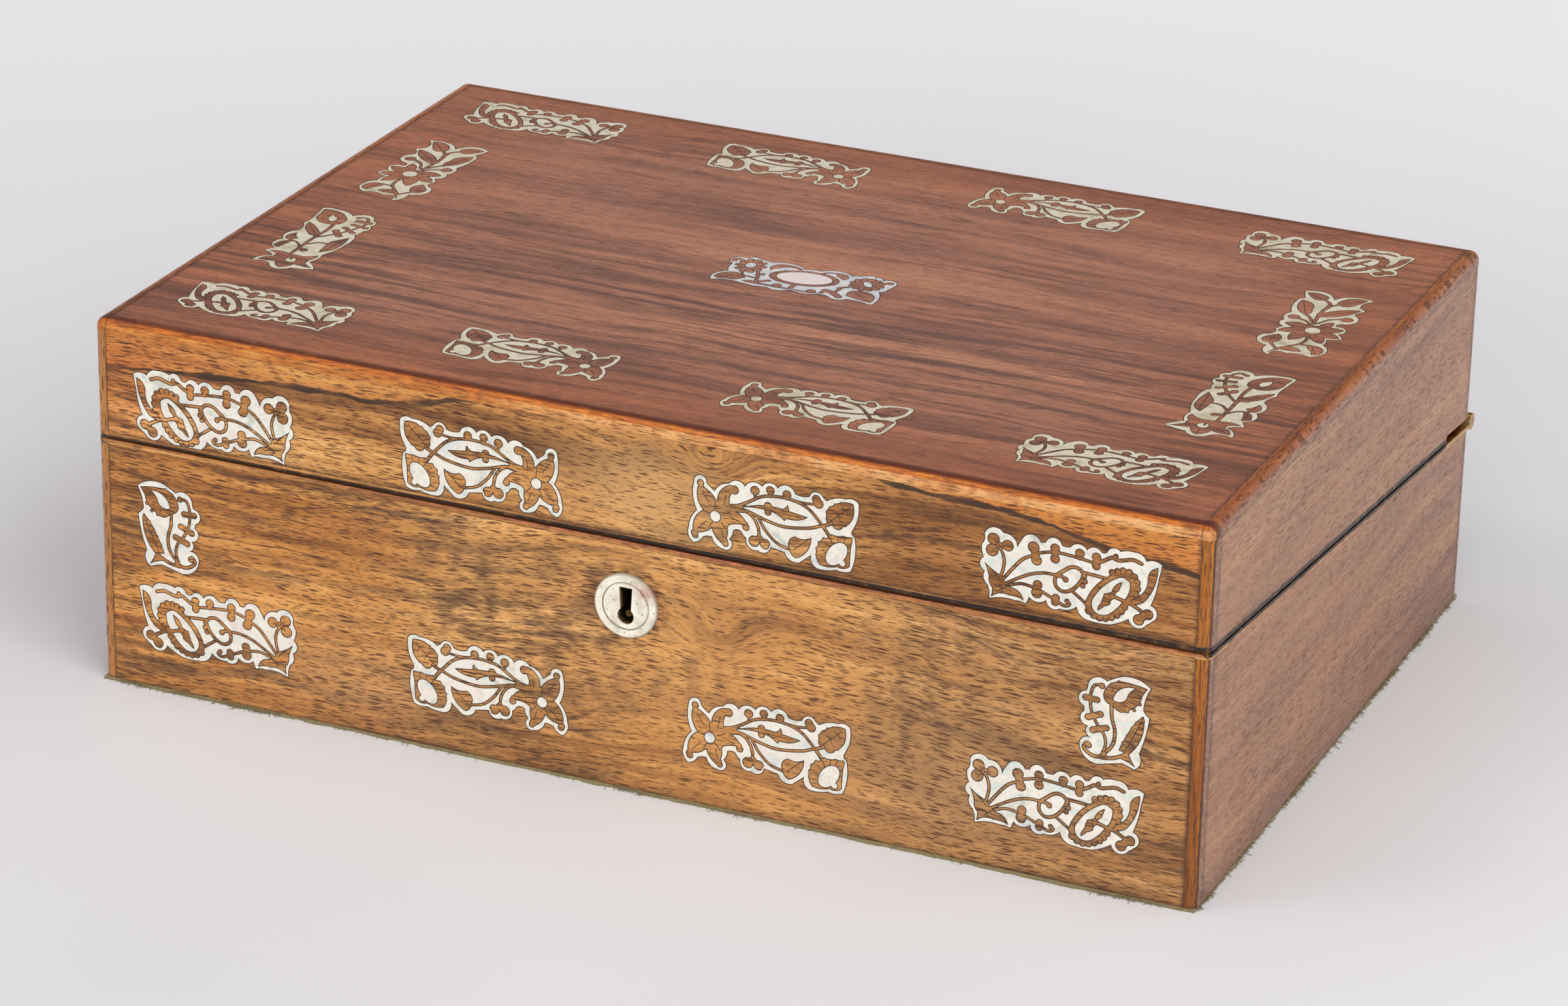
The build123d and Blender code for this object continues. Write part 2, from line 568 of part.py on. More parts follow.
# Where the plates lie: across and up on the front, across and back on the top. They were laid by hand,
# so each is a little off its neighbour. Those near an edge are placed from that edge.
lid_row = joint_z(-half_d, facing_n) + 12.3
base_row = 24.6
side_room = (box_d - 57.4 - corner_plate_h - 2 * side_plate_h) / 3
tulip_row = -half_d + 32.0 + corner_plate_h / 2 + side_room + side_plate_h / 2
star_row = half_d - 25.4 - corner_plate_h / 2 - side_room - side_plate_h / 2
lid_front_plates = [
    (corner_plate, -half_w + 39.0, lid_row - 0.2, False), (lens_plate, -47.0, lid_row - 0.2, False),
    (lens_plate, 46.0, lid_row + 0.3, True), (corner_plate, half_w - 40.5, lid_row + 0.1, True),
]
base_front_plates = [
    (corner_plate, -half_w + 39.0, base_row - 0.4, False), (lens_plate, -45.0, base_row, False),
    (lens_plate, 45.0, base_row, True), (corner_plate, half_w - 42.0, base_row, True),
    (small_plate, -half_w + 23.0, 54.3, False), (small_plate, half_w - 26.0, 54.5, True),
]
lid_top_plates = [
    (corner_plate, -half_w + 38.0, -half_d + 32.2, False), (lens_plate, -50.8, -half_d + 32.2, False),
    (lens_plate, 40.0, -half_d + 31.5, True), (corner_plate, half_w - 43.2, -half_d + 31.0, True),
    (corner_plate, -half_w + 39.7, half_d - 25.0, False), (lens_plate, -48.3, half_d - 25.2, False),
    (lens_plate, 42.3, half_d - 25.0, True), (corner_plate, half_w - 42.7, half_d - 24.8, True),
    (star_plate, -half_w + 24.7, star_row, True), (star_plate, half_w - 26.7, star_row, False),
    (tulip_plate, -half_w + 25.4, tulip_row, True), (tulip_plate, half_w - 26.7, tulip_row, False),
    (oval_plate, -3.5, 3.5, False),
]


def lay_plates(plates):
    """Puts each plate in its place on the sketch in hand."""
    for figure, across, up, flipped in plates:
        shape = mirror(figure.sketch, Plane.YZ, mode=Mode.PRIVATE) if flipped else figure.sketch
        add(shape.moved(Location((across, up))))


with BuildPart() as base_pearl:
    with BuildSketch(Plane.XZ.offset(half_d)):
        lay_plates(base_front_plates)
    extrude(amount=-pearl_t)
save(base_pearl, "base_pearl_plates")

with BuildPart() as lid_front_pearl:
    with BuildSketch(Plane.XZ.offset(half_d)):
        lay_plates(lid_front_plates)
    extrude(amount=-pearl_t)
save(lid_front_pearl, "lid_front_pearl_plates")

with BuildPart() as lid_top_pearl:
    with BuildSketch(Plane.XY.offset(box_h)):
        lay_plates(lid_top_plates)
    extrude(amount=-pearl_t)
save(lid_top_pearl, "lid_top_pearl_plates")

# Base: baize, bottom, walls
with BuildPart() as baize:
    with BuildSketch():
        RectangleRounded(box_w - 2 * foot_round, box_d - 2 * foot_round, strip_round)
    extrude(amount=baize_t)
save(baize, "base_baize")

with BuildPart() as base_bottom:
    block(-half_w + veneer_t, half_w - veneer_t, -half_d + veneer_t, half_d - veneer_t, baize_t, floor_z)
    for sx in (-1, 1):
        for sy in (-1, 1):
            with Locations((sx * (half_w - strip_w / 2), sy * (half_d - strip_w / 2), (baize_t + floor_z) / 2)):
                Box(strip_w, strip_w, bottom_t, mode=Mode.SUBTRACT)
save(base_bottom, "base_bottom_board")


def corner_notches(z0, z1):
    """Makes room for the corner strips."""
    for sx in (-1, 1):
        for sy in (-1, 1):
            with Locations((sx * (half_w - strip_w / 2), sy * (half_d - strip_w / 2), (z0 + z1) / 2)):
                Box(strip_w, strip_w, z1 - z0, mode=Mode.SUBTRACT)


with BuildPart() as base_front:
    block(-half_w + veneer_t, half_w - veneer_t, -half_d + veneer_t, -in_d, floor_z, box_h)
    corner_notches(floor_z, box_h)
    below_joint(-facing_n)
    add(lock_case_blank.part, mode=Mode.SUBTRACT)
    add(keyhole_cut.part, mode=Mode.SUBTRACT)
    add(base_screw_holes.part, mode=Mode.SUBTRACT)
save(base_front, "base_front_board")

with BuildPart() as base_back:
    block(-half_w + veneer_t, half_w - veneer_t, in_d, half_d - veneer_t, floor_z, box_h)
    corner_notches(floor_z, box_h)
    below_joint(-facing_n)
    add(base_screw_holes.part, mode=Mode.SUBTRACT)
save(base_back, "base_back_board")

for side, word in ((-1, "left"), (1, "right")):
    outer = side * (half_w - veneer_t)
    inner = side * in_w
    with BuildPart() as base_side:
        block(min(outer, inner), max(outer, inner), -in_d, in_d, floor_z, box_h)
        below_joint(-facing_n)
        add(base_screw_holes.part, mode=Mode.SUBTRACT)
    save(base_side, "base_" + word + "_board")

# Base: veneers, corner strips, rim facing
with BuildPart() as base_front_skin:
    block(-half_w + strip_w, half_w - strip_w, -half_d, -half_d + veneer_t, baize_t, box_h)
    below_joint(-facing_n)
    add(base_pearl.part, mode=Mode.SUBTRACT)
    add(keyhole_cut.part, mode=Mode.SUBTRACT)
    with BuildSketch(Plane.XZ.offset(half_d)):
        with Locations((lock_x, escutcheon_z)):
            Circle(escutcheon_r)
    extrude(amount=-escutcheon_let_in, mode=Mode.SUBTRACT)
save(base_front_skin, "base_front_veneer")

with BuildPart() as base_back_skin:
    block(-half_w + strip_w, half_w - strip_w, half_d - veneer_t, half_d, baize_t, box_h)
    below_joint(-facing_n)
save(base_back_skin, "base_back_veneer")

with BuildPart() as base_side_skins:
    for side in (-1, 1):
        outer = side * half_w
        inner = side * (half_w - veneer_t)
        block(min(outer, inner), max(outer, inner), -half_d + strip_w, half_d - strip_w, baize_t, box_h)
    below_joint(-facing_n)
save(base_side_skins, "base_side_veneers")


def corner_posts(z0, z1):
    """Four square strips with their outer edges rounded."""
    with BuildSketch(Plane.XY.offset(z0)) as posts:
        RectangleRounded(box_w, box_d, strip_round)
        Rectangle(box_w - 2 * strip_w, box_d, mode=Mode.SUBTRACT)
        Rectangle(box_w, box_d - 2 * strip_w, mode=Mode.SUBTRACT)
    extrude(posts.sketch, amount=z1 - z0)


with BuildPart() as base_posts:
    corner_posts(baize_t, box_h)
    below_joint(-facing_n)
save(base_posts, "base_corner_strips")


def rim_ring():
    """The rim seen from above, with mitre lines across its corners."""
    with BuildSketch() as ring:
        RectangleRounded(box_w, box_d, strip_round)
        Rectangle(2 * in_w, 2 * in_d, mode=Mode.SUBTRACT)
        for sx in (-1, 1):
            for sy in (-1, 1):
                with Locations((sx * (half_w - wall_t / 2), sy * (half_d - wall_t / 2))):
                    Rectangle(4 * wall_t, mitre_line, rotation=45 * sx * sy, mode=Mode.SUBTRACT)
    extrude(ring.sketch, amount=box_h)


with BuildPart() as base_facing:
    rim_ring()
    below_joint(-rim_n)
    above_joint(-facing_n)
    add(base_hinge_bed.part, mode=Mode.SUBTRACT)
    add(rim_plate_bed.part, mode=Mode.SUBTRACT)
    add(base_screw_holes.part, mode=Mode.SUBTRACT)
save(base_facing, "base_rim_facing")

# Escutcheon
with BuildPart() as escutcheon:
    with BuildSketch(Plane.XZ.offset(half_d - escutcheon_let_in)):
        with Locations((lock_x, escutcheon_z)):
            Circle(escutcheon_r)
    extrude(amount=escutcheon_let_in + escutcheon_proud)
    fillet(escutcheon.faces().sort_by(Axis.Y)[0].edges(), escutcheon_rim)
    with BuildSketch(Plane.XZ.offset(half_d + escutcheon_proud)):
        with Locations((lock_x, escutcheon_z)):
            Circle(ring_r)
            Circle(ring_r - ring_w, mode=Mode.SUBTRACT)
    extrude(amount=-ring_depth, mode=Mode.SUBTRACT)
    with BuildSketch(Plane.XZ.offset(half_d - escutcheon_let_in)):
        with Locations((lock_x, key_z)):
            Circle(key_round_r)
        with BuildLine():
            Polyline(
                (lock_x - key_slot_low / 2, key_z),
                (lock_x + key_slot_low / 2, key_z),
                (lock_x + key_slot_high / 2, key_top_z),
                (lock_x - key_slot_high / 2, key_top_z),
                close=True,
            )
        make_face()
    extrude(amount=escutcheon_let_in + escutcheon_proud, mode=Mode.SUBTRACT)
save(escutcheon, "escutcheon")

# Compartment strip: divider, partitions, pen tray
with BuildPart() as divider:
    block(-in_w, in_w, divider_y, divider_back_y, floor_z, box_h)
    below_joint(-flap_n)
save(divider, "well_divider")

tray_half = in_w - ink_space - partition_t
with BuildPart() as partitions:
    for side in (-1, 1):
        outer = side * (in_w - ink_space)
        inner = side * tray_half
        block(min(outer, inner), max(outer, inner), -in_d, divider_y, floor_z, box_h)
    below_joint(-flap_n)
save(partitions, "ink_partitions")

tray_top = joint_z(divider_y, -rim_n) - tray_drop
with BuildPart() as trough:
    block(
        -tray_half + trough_margin, tray_half - trough_margin, -in_d + trough_margin,
        divider_y - trough_margin, tray_top - trough_depth, tray_top + trough_depth,
    )
    fillet(trough.faces().sort_by(Axis.Z)[0].edges(), trough_round)
with BuildPart() as tray:
    block(-tray_half, tray_half, -in_d, divider_y, tray_top - tray_t, tray_top)
    add(trough.part, mode=Mode.SUBTRACT)
save(tray, "pen_tray")

# Ink bottles, collars and screw caps
bottle_x = in_w - ink_space / 2
bottle_y = -in_d + strip_depth / 2
cap_z = joint_z(bottle_y, -rim_n) - cap_headroom - cap_h
shoulder_z = cap_z - cap_clear - collar_h
neck_top_z = shoulder_z + neck_h
with BuildPart() as bottles:
    for side in (-1, 1):
        with BuildSketch(Plane.XY.offset(floor_z)):
            with Locations((side * bottle_x, bottle_y)):
                RectangleRounded(bottle_w, bottle_w, bottle_round)
        extrude(amount=shoulder_z - floor_z)
        with BuildSketch(Plane.XY.offset(shoulder_z)):
            with Locations((side * bottle_x, bottle_y)):
                Circle(neck_r)
        extrude(amount=neck_h)
        with BuildSketch(Plane.XY.offset(floor_z + bottle_floor)):
            with Locations((side * bottle_x, bottle_y)):
                RectangleRounded(bottle_w - 2 * bottle_wall, bottle_w - 2 * bottle_wall, bottle_round)
        extrude(amount=shoulder_z - bottle_wall - floor_z - bottle_floor, mode=Mode.SUBTRACT)
        with BuildSketch(Plane.XY.offset(shoulder_z - bottle_wall)):
            with Locations((side * bottle_x, bottle_y)):
                Circle(neck_bore_r)
        extrude(amount=bottle_wall + neck_h, mode=Mode.SUBTRACT)
save(bottles, "ink_bottles")

with BuildPart() as collars:
    for side in (-1, 1):
        with BuildSketch(Plane.XY.offset(shoulder_z)):
            with Locations((side * bottle_x, bottle_y)):
                Circle(collar_r)
                Circle(neck_r, mode=Mode.SUBTRACT)
        extrude(amount=collar_h)
save(collars, "ink_bottle_collars")

for side, word in ((-1, "left"), (1, "right")):
    with BuildPart() as cap:
        with BuildSketch(Plane.XY.offset(cap_z)):
            with Locations((side * bottle_x, bottle_y)):
                Circle(cap_r)
                with PolarLocations(cap_r, knurl_count):
                    Circle(knurl_r, mode=Mode.SUBTRACT)
        extrude(amount=cap_band_h)
        with BuildSketch(Plane.XY.offset(cap_z + cap_band_h)):
            with Locations((side * bottle_x, bottle_y)):
                Circle(cap_r - 2 * knurl_r)
        extrude(amount=cap_h - cap_band_h)
        fillet(cap.faces().sort_by(Axis.Z)[-1].edges(), cap_round)
        with BuildSketch(Plane.XY.offset(cap_z)):
            with Locations((side * bottle_x, bottle_y)):
                Circle(neck_r + cap_clear)
        extrude(amount=neck_top_z + cap_clear - cap_z, mode=Mode.SUBTRACT)
    save(cap, "ink_cap_" + word)

# Ledges and rail that carry the upper flap
with BuildPart() as base_rests:
    for side in (-1, 1):
        outer = side * in_w
        inner = side * (in_w - ledge_w)
        block(min(outer, inner), max(outer, inner), divider_back_y, rail_y, floor_z, box_h)
    block(-in_w + ledge_w, in_w - ledge_w, divider_back_y, divider_back_y + ledge_w, floor_z, box_h)
    below_joint(-flap_back_n)
    above_joint(-ledge_n)
with BuildPart() as base_rail:
    block(-in_w, in_w, rail_y, in_d, floor_z, box_h)
    below_joint(-flap_n)
    above_joint(-flap_n - rail_h)


# Small hinges of the flaps, drawn in the slanted plane. way is +1 in the base and -1 in the lid,
# where everything is mirrored through the joint.
flap_hinge_u = along(rail_y, -flap_n) - flap_hinge_gap / 2
lid_flap_hinge_u = along(rail_y, flap_n) - flap_hinge_gap / 2


def flap_leaf(x, u, way, reach, ends):
    """A leaf plate from the knuckles, with its end knuckles or its middle knuckle."""
    n = -way * flap_n
    inner_n = n - way * flap_leaf_t
    clear = flap_knuckle_r + knuckle_gap
    half = flap_leaf_w / 2
    far = u + reach * (flap_hinge_gap / 2 + flap_leaf_l)
    near = u + reach * clear
    block(x - half, x + half, min(near, far), max(near, far), min(n, inner_n), max(n, inner_n))
    middle_half = half - flap_knuckle_end - knuckle_gap
    if ends:
        spans = [(x - half, x - half + flap_knuckle_end), (x + half - flap_knuckle_end, x + half)]
    else:
        spans = [(x - middle_half, x + middle_half)]
    for x0, x1 in spans:
        block(x0, x1, min(u, near), max(u, near), min(n, inner_n), max(n, inner_n))
        with Locations(((x0 + x1) / 2, u, n)):
            Cylinder(flap_knuckle_r, x1 - x0, rotation=(0, 90, 0))
    with Locations((x, u, n)):
        if ends:
            Cylinder(flap_pin_r, flap_leaf_w, rotation=(0, 90, 0))
        else:
            Cylinder(flap_pin_r + pin_clear, flap_leaf_w, rotation=(0, 90, 0), mode=Mode.SUBTRACT)


def flap_leaf_beds(u, way, reach):
    """The shallow beds for the leaves of both hinges."""
    n = -way * flap_n
    inner_n = n - way * flap_leaf_t
    for x in (-flap_hinge_x, flap_hinge_x):
        far = u + reach * (flap_hinge_gap / 2 + flap_leaf_l)
        block(
            x - flap_leaf_w / 2, x + flap_leaf_w / 2, min(u, far), max(u, far), min(n, inner_n), max(n, inner_n)
        )


with BuildPart(slope_plane) as base_rail_beds:
    flap_leaf_beds(flap_hinge_u, 1, 1)
with BuildPart(slope_plane) as upper_flap_beds:
    flap_leaf_beds(flap_hinge_u, 1, -1)
with BuildPart(slope_plane) as lid_rail_beds:
    flap_leaf_beds(lid_flap_hinge_u, -1, 1)
with BuildPart(slope_plane) as lower_flap_beds:
    flap_leaf_beds(lid_flap_hinge_u, -1, -1)

with BuildPart() as base_flap_rests:
    add(base_rests.part)
save(base_flap_rests, "base_flap_ledges")
with BuildPart() as base_flap_rail:
    add(base_rail.part)
    add(base_rail_beds.part, mode=Mode.SUBTRACT)
save(base_flap_rail, "base_flap_rail")

with BuildPart(slope_plane) as upper_fixed_leaves:
    for x in (-flap_hinge_x, flap_hinge_x):
        flap_leaf(x, flap_hinge_u, 1, 1, True)
save(upper_fixed_leaves, "upper_flap_fixed_leaves")
with BuildPart(slope_plane) as upper_moving_leaves:
    for x in (-flap_hinge_x, flap_hinge_x):
        flap_leaf(x, flap_hinge_u, 1, -1, False)
save(upper_moving_leaves, "upper_flap_moving_leaves")
with BuildPart(slope_plane) as lower_fixed_leaves:
    for x in (-flap_hinge_x, flap_hinge_x):
        flap_leaf(x, lid_flap_hinge_u, -1, 1, True)
save(lower_fixed_leaves, "lower_flap_fixed_leaves")
with BuildPart(slope_plane) as lower_moving_leaves:
    for x in (-flap_hinge_x, flap_hinge_x):
        flap_leaf(x, lid_flap_hinge_u, -1, -1, False)
save(lower_moving_leaves, "lower_flap_moving_leaves")

# Upper flap, which lies in the base behind the compartment strip
flap_half = in_w - flap_clear
upper_start_y = divider_back_y + flap_clear
with BuildPart() as upper_leather:
    block(
        -flap_half + leather_margin, flap_half - leather_margin, upper_start_y + leather_margin,
        flap_end_y - leather_margin, floor_z, box_h,
    )
    below_joint(-flap_n)
    above_joint(-flap_n - leather_t)
save(upper_leather, "upper_flap_leather")

with BuildPart() as upper_flap:
    block(-flap_half, flap_half, upper_start_y, flap_end_y, floor_z, box_h)
    below_joint(-flap_n)
    above_joint(-flap_back_n + flap_seat)
    add(upper_leather.part, mode=Mode.SUBTRACT)
    add(upper_flap_beds.part, mode=Mode.SUBTRACT)
save(upper_flap, "upper_flap_panel")

with BuildPart() as upper_tab:
    block(-tab_w / 2, tab_w / 2, upper_start_y, upper_start_y + tab_l, floor_z, box_h)
    below_joint(-flap_n + tab_t)
    above_joint(-flap_n)
save(upper_tab, "upper_flap_tab")

# Lower flap, which closes the whole of the lid
lower_start_y = front_rail_y + flap_clear
with BuildPart() as lower_leather:
    block(
        -flap_half + leather_margin, flap_half - leather_margin, lower_start_y + leather_margin,
        flap_end_y - leather_margin, floor_z, box_h,
    )
    above_joint(flap_n)
    below_joint(flap_n + leather_t)
save(lower_leather, "lower_flap_leather")

with BuildPart() as lower_flap:
    block(-flap_half, flap_half, lower_start_y, flap_end_y, floor_z, box_h)
    above_joint(flap_n)
    below_joint(flap_back_n - flap_seat)
    add(lower_leather.part, mode=Mode.SUBTRACT)
    add(lower_flap_beds.part, mode=Mode.SUBTRACT)
save(lower_flap, "lower_flap_panel")

with BuildPart() as lower_tab:
    block(
        lower_tab_x - tab_w / 2, lower_tab_x + tab_w / 2, lower_start_y, lower_start_y + tab_l, floor_z, box_h
    )
    above_joint(flap_n - tab_t)
    below_joint(flap_n)
save(lower_tab, "lower_flap_tab")

# Lock: case with its rim plate, drill pin, bolt
link_u = along(-in_d - lock_d / 2, -rim_n - link_drop / 2)
link_xs = [lock_x - link_spread, lock_x + link_spread]
cavity_front_y = case_front_y + lock_wall
cavity_back_y = -in_d - lock_wall
with BuildPart(slope_plane) as link_slots:
    for x in link_xs:
        room_x = link_t / 2 + link_clear
        room_u = link_w / 2 + link_clear
        block(x - room_x, x + room_x, link_u - room_u, link_u + room_u, -2 * link_drop, 0)
with BuildPart() as lock_cavity:
    block(
        lock_x - lock_w / 2 + lock_wall, lock_x + lock_w / 2 - lock_wall, cavity_front_y, cavity_back_y,
        lock_low + lock_wall, box_h,
    )
    below_joint(-facing_n)
with BuildPart() as lock_case:
    add(lock_case_blank.part)
    add(lock_cavity.part, mode=Mode.SUBTRACT)
    add(rim_plate_blank.part)
    add(link_slots.part, mode=Mode.SUBTRACT)
    add(keyhole_cut.part, mode=Mode.SUBTRACT)
    add(base_screw_holes.part, mode=Mode.SUBTRACT)
    with Locations((lock_x, -in_d - lock_wall / 2, key_z)):
        Cylinder(drill_pin_r, 2 * lock_wall, rotation=(90, 0, 0), mode=Mode.SUBTRACT)
save(lock_case, "lock_case")

with BuildPart() as drill_pin:
    with Locations((lock_x, -in_d - board_t / 2, key_z)):
        Cylinder(drill_pin_r, board_t, rotation=(90, 0, 0))
save(drill_pin, "lock_drill_pin")

lock_mid_y = -in_d - lock_d / 2
link_low_z = joint_z(lock_mid_y, -rim_n - link_drop)
eye_mid_n = -rim_n - link_drop + link_eye_low + link_eye_h / 2
eye_mid_z = joint_z(lock_mid_y, eye_mid_n)
bolt_top = link_low_z - link_clear
with BuildPart() as bolt:
    bar_left = link_xs[0] - link_t / 2 - link_clear - bolt_throw - bolt_arm_w
    bar_right = link_xs[1] - link_t / 2 - link_clear - bolt_throw
    block(bar_left, bar_right, lock_mid_y - bolt_t / 2, lock_mid_y + bolt_t / 2, bolt_top - bolt_h, bolt_top)
    block(
        lock_x - talon_w / 2, lock_x + talon_w / 2, lock_mid_y - bolt_t / 2, lock_mid_y + bolt_t / 2,
        bolt_top - bolt_h, bolt_top - bolt_h + talon_h, mode=Mode.SUBTRACT,
    )
    for x in link_xs:
        arm_right = x - link_t / 2 - link_clear - bolt_throw
        finger_tip = x - link_t / 2 - link_clear
        half_t = bolt_finger_t / 2
        block(
            arm_right - bolt_arm_w, arm_right, lock_mid_y - half_t, lock_mid_y + half_t, bolt_top - 1,
            eye_mid_z + bolt_finger_h / 2,
        )
        block(
            arm_right, finger_tip, lock_mid_y - half_t, lock_mid_y + half_t, eye_mid_z - bolt_finger_h / 2,
            eye_mid_z + bolt_finger_h / 2,
        )
save(bolt, "lock_bolt")

# Main hinges: base leaves, lid leaves, pins
knuckle_clear = knuckle_r + knuckle_gap
middle_x0 = in_w + knuckle_end + knuckle_gap
middle_x1 = half_w - knuckle_end - knuckle_gap


def barrel(x0, x1, side):
    """A length of the hinge barrel on the axis."""
    with Locations((side * (x0 + x1) / 2, 0, 0)):
        Cylinder(knuckle_r, x1 - x0, rotation=(0, 90, 0))


def hinge_plate(x0, x1, u0, u1, n0, n1, side):
    block(min(side * x0, side * x1), max(side * x0, side * x1), u0, u1, n0, n1)


with BuildPart(slope_plane) as base_leaf_blanks:
    for side in (-1, 1):
        hinge_plate(in_w, half_w, bed_start, -knuckle_clear, -rim_n - hinge_leaf_t, -rim_n, side)
        for x0, x1 in ((in_w, in_w + knuckle_end), (half_w - knuckle_end, half_w)):
            hinge_plate(x0, x1, -knuckle_clear, 0, -rim_n - hinge_leaf_t, -rim_n, side)
            barrel(x0, x1, side)
        with Locations((side * (half_w - wall_t / 2), 0, 0)):
            Cylinder(hinge_pin_r, wall_t, rotation=(0, 90, 0), mode=Mode.SUBTRACT)
with BuildPart() as base_leaves:
    add(base_leaf_blanks.part)
    add(base_screw_holes.part, mode=Mode.SUBTRACT)
save(base_leaves, "base_hinge_leaves")

leaf_low = knuckle_r - hinge_leaf_t
with BuildPart(slope_plane) as lid_leaf_blanks:
    for side in (-1, 1):
        hinge_plate(in_w, half_w - hinge_inset, bed_start, -knuckle_clear, leaf_low, knuckle_r, side)
        hinge_plate(middle_x0, middle_x1, -knuckle_clear, 0, leaf_low, knuckle_r, side)
        barrel(middle_x0, middle_x1, side)
        with Locations((side * (half_w - wall_t / 2), 0, 0)):
            Cylinder(hinge_pin_r + pin_clear, wall_t, rotation=(0, 90, 0), mode=Mode.SUBTRACT)
with BuildPart() as lid_leaves:
    add(lid_leaf_blanks.part)
    add(lid_screw_holes.part, mode=Mode.SUBTRACT)
save(lid_leaves, "lid_hinge_leaves")

with BuildPart(slope_plane) as hinge_pins:
    for side in (-1, 1):
        with Locations((side * (half_w - wall_t / 2), 0, 0)):
            Cylinder(hinge_pin_r, wall_t, rotation=(0, 90, 0))
save(hinge_pins, "hinge_pins")

# Lid: boards
with BuildPart() as lid_top:
    block(-half_w + veneer_t, half_w - veneer_t, -half_d + veneer_t, half_d - veneer_t, roof_z, strip_z)
    block(-half_w + strip_w, half_w - strip_w, -half_d + strip_w, half_d - strip_w, strip_z, box_h - veneer_t)
    corner_notches(roof_z, strip_z)
save(lid_top, "lid_top_board")

with BuildPart() as lid_front:
    block(-half_w + veneer_t, half_w - veneer_t, -half_d + veneer_t, -in_d, floor_z, roof_z)
    corner_notches(floor_z, roof_z)
    above_joint(facing_n)
    add(lid_screw_holes.part, mode=Mode.SUBTRACT)
save(lid_front, "lid_front_board")

with BuildPart() as lid_back:
    block(-half_w + veneer_t, half_w - veneer_t, in_d, half_d - veneer_t, floor_z, roof_z)
    corner_notches(floor_z, roof_z)
    above_joint(facing_n)
    add(lid_hinge_bed.part, mode=Mode.SUBTRACT)
    add(lid_screw_holes.part, mode=Mode.SUBTRACT)
save(lid_back, "lid_back_board")

for side, word in ((-1, "left"), (1, "right")):
    outer = side * (half_w - veneer_t)
    inner = side * in_w
    with BuildPart() as lid_side:
        block(min(outer, inner), max(outer, inner), -in_d, in_d, floor_z, roof_z)
        above_joint(facing_n)
        add(lid_hinge_bed.part, mode=Mode.SUBTRACT)
        add(lid_screw_holes.part, mode=Mode.SUBTRACT)
    save(lid_side, "lid_" + word + "_board")

# Lid: veneers, corner strips, edging, rim facing
with BuildPart() as lid_top_skin:
    block(-half_w + strip_w, half_w - strip_w, -half_d + strip_w, half_d - strip_w, box_h - veneer_t, box_h)
    add(lid_top_pearl.part, mode=Mode.SUBTRACT)
save(lid_top_skin, "lid_top_veneer")

with BuildPart() as lid_front_skin:
    block(-half_w + strip_w, half_w - strip_w, -half_d, -half_d + veneer_t, floor_z, strip_z)
    above_joint(facing_n)
    add(lid_front_pearl.part, mode=Mode.SUBTRACT)
save(lid_front_skin, "lid_front_veneer")

with BuildPart() as lid_back_skin:
    block(-half_w + strip_w, half_w - strip_w, half_d - veneer_t, half_d, floor_z, strip_z)
    above_joint(facing_n)
    add(lid_hinge_bed.part, mode=Mode.SUBTRACT)
save(lid_back_skin, "lid_back_veneer")

with BuildPart() as lid_side_skins:
    for side in (-1, 1):
        outer = side * half_w
        inner = side * (half_w - veneer_t)
        block(min(outer, inner), max(outer, inner), -half_d + strip_w, half_d - strip_w, floor_z, strip_z)
    above_joint(facing_n)
    add(lid_hinge_bed.part, mode=Mode.SUBTRACT)
save(lid_side_skins, "lid_side_veneers")

with BuildPart() as lid_posts:
    corner_posts(floor_z, strip_z)
    above_joint(facing_n)
    add(lid_hinge_bed.part, mode=Mode.SUBTRACT)
save(lid_posts, "lid_corner_strips")

with BuildPart() as edging:
    with BuildSketch(Plane.XY.offset(strip_z)):
        RectangleRounded(box_w, box_d, strip_round)
    extrude(amount=strip_w)
    fillet(edging.faces().sort_by(Axis.Z)[-1].edges(), strip_round - mitre_line)
    block(
        -half_w + strip_w, half_w - strip_w, -half_d + strip_w, half_d - strip_w, strip_z, box_h,
        mode=Mode.SUBTRACT,
    )
    with BuildSketch(Plane.XY.offset(strip_z)):
        for sx in (-1, 1):
            for sy in (-1, 1):
                with Locations((sx * (half_w - strip_w / 2), sy * (half_d - strip_w / 2))):
                    Rectangle(4 * strip_w, mitre_line, rotation=45 * sx * sy)
    extrude(amount=strip_w, mode=Mode.SUBTRACT)
save(edging, "lid_top_edging")

with BuildPart() as lid_facing:
    rim_ring()
    below_joint(facing_n)
    above_joint(rim_n)
    add(lid_hinge_bed.part, mode=Mode.SUBTRACT)
    add(rim_plate_bed.part, mode=Mode.SUBTRACT)
    add(lid_screw_holes.part, mode=Mode.SUBTRACT)
save(lid_facing, "lid_rim_facing")

# Ledges and rails that carry the lower flap
with BuildPart() as lid_rests:
    for side in (-1, 1):
        outer = side * in_w
        inner = side * (in_w - ledge_w)
        block(min(outer, inner), max(outer, inner), front_rail_y, rail_y, floor_z, roof_z)
    below_joint(ledge_n)
    above_joint(flap_back_n)
save(lid_rests, "lid_flap_ledges")

button_u = along(-in_d + front_rail_w / 2, flap_n)
with BuildPart() as front_lip:
    block(-in_w + ledge_w, in_w - ledge_w, front_rail_y, front_rail_y + ledge_w, floor_z, roof_z)
    above_joint(flap_back_n)
    below_joint(ledge_n)
with BuildPart(slope_plane) as pivot_hole:
    with Locations((0, button_u, flap_n + button_pin_l / 2)):
        Cylinder(button_pin_r, button_pin_l)
with BuildPart() as lid_front_rail:
    block(-in_w, in_w, -in_d, front_rail_y, floor_z, roof_z)
    above_joint(flap_n)
    below_joint(ledge_n)
    add(front_lip.part)
    add(pivot_hole.part, mode=Mode.SUBTRACT)
save(lid_front_rail, "lid_front_rail")

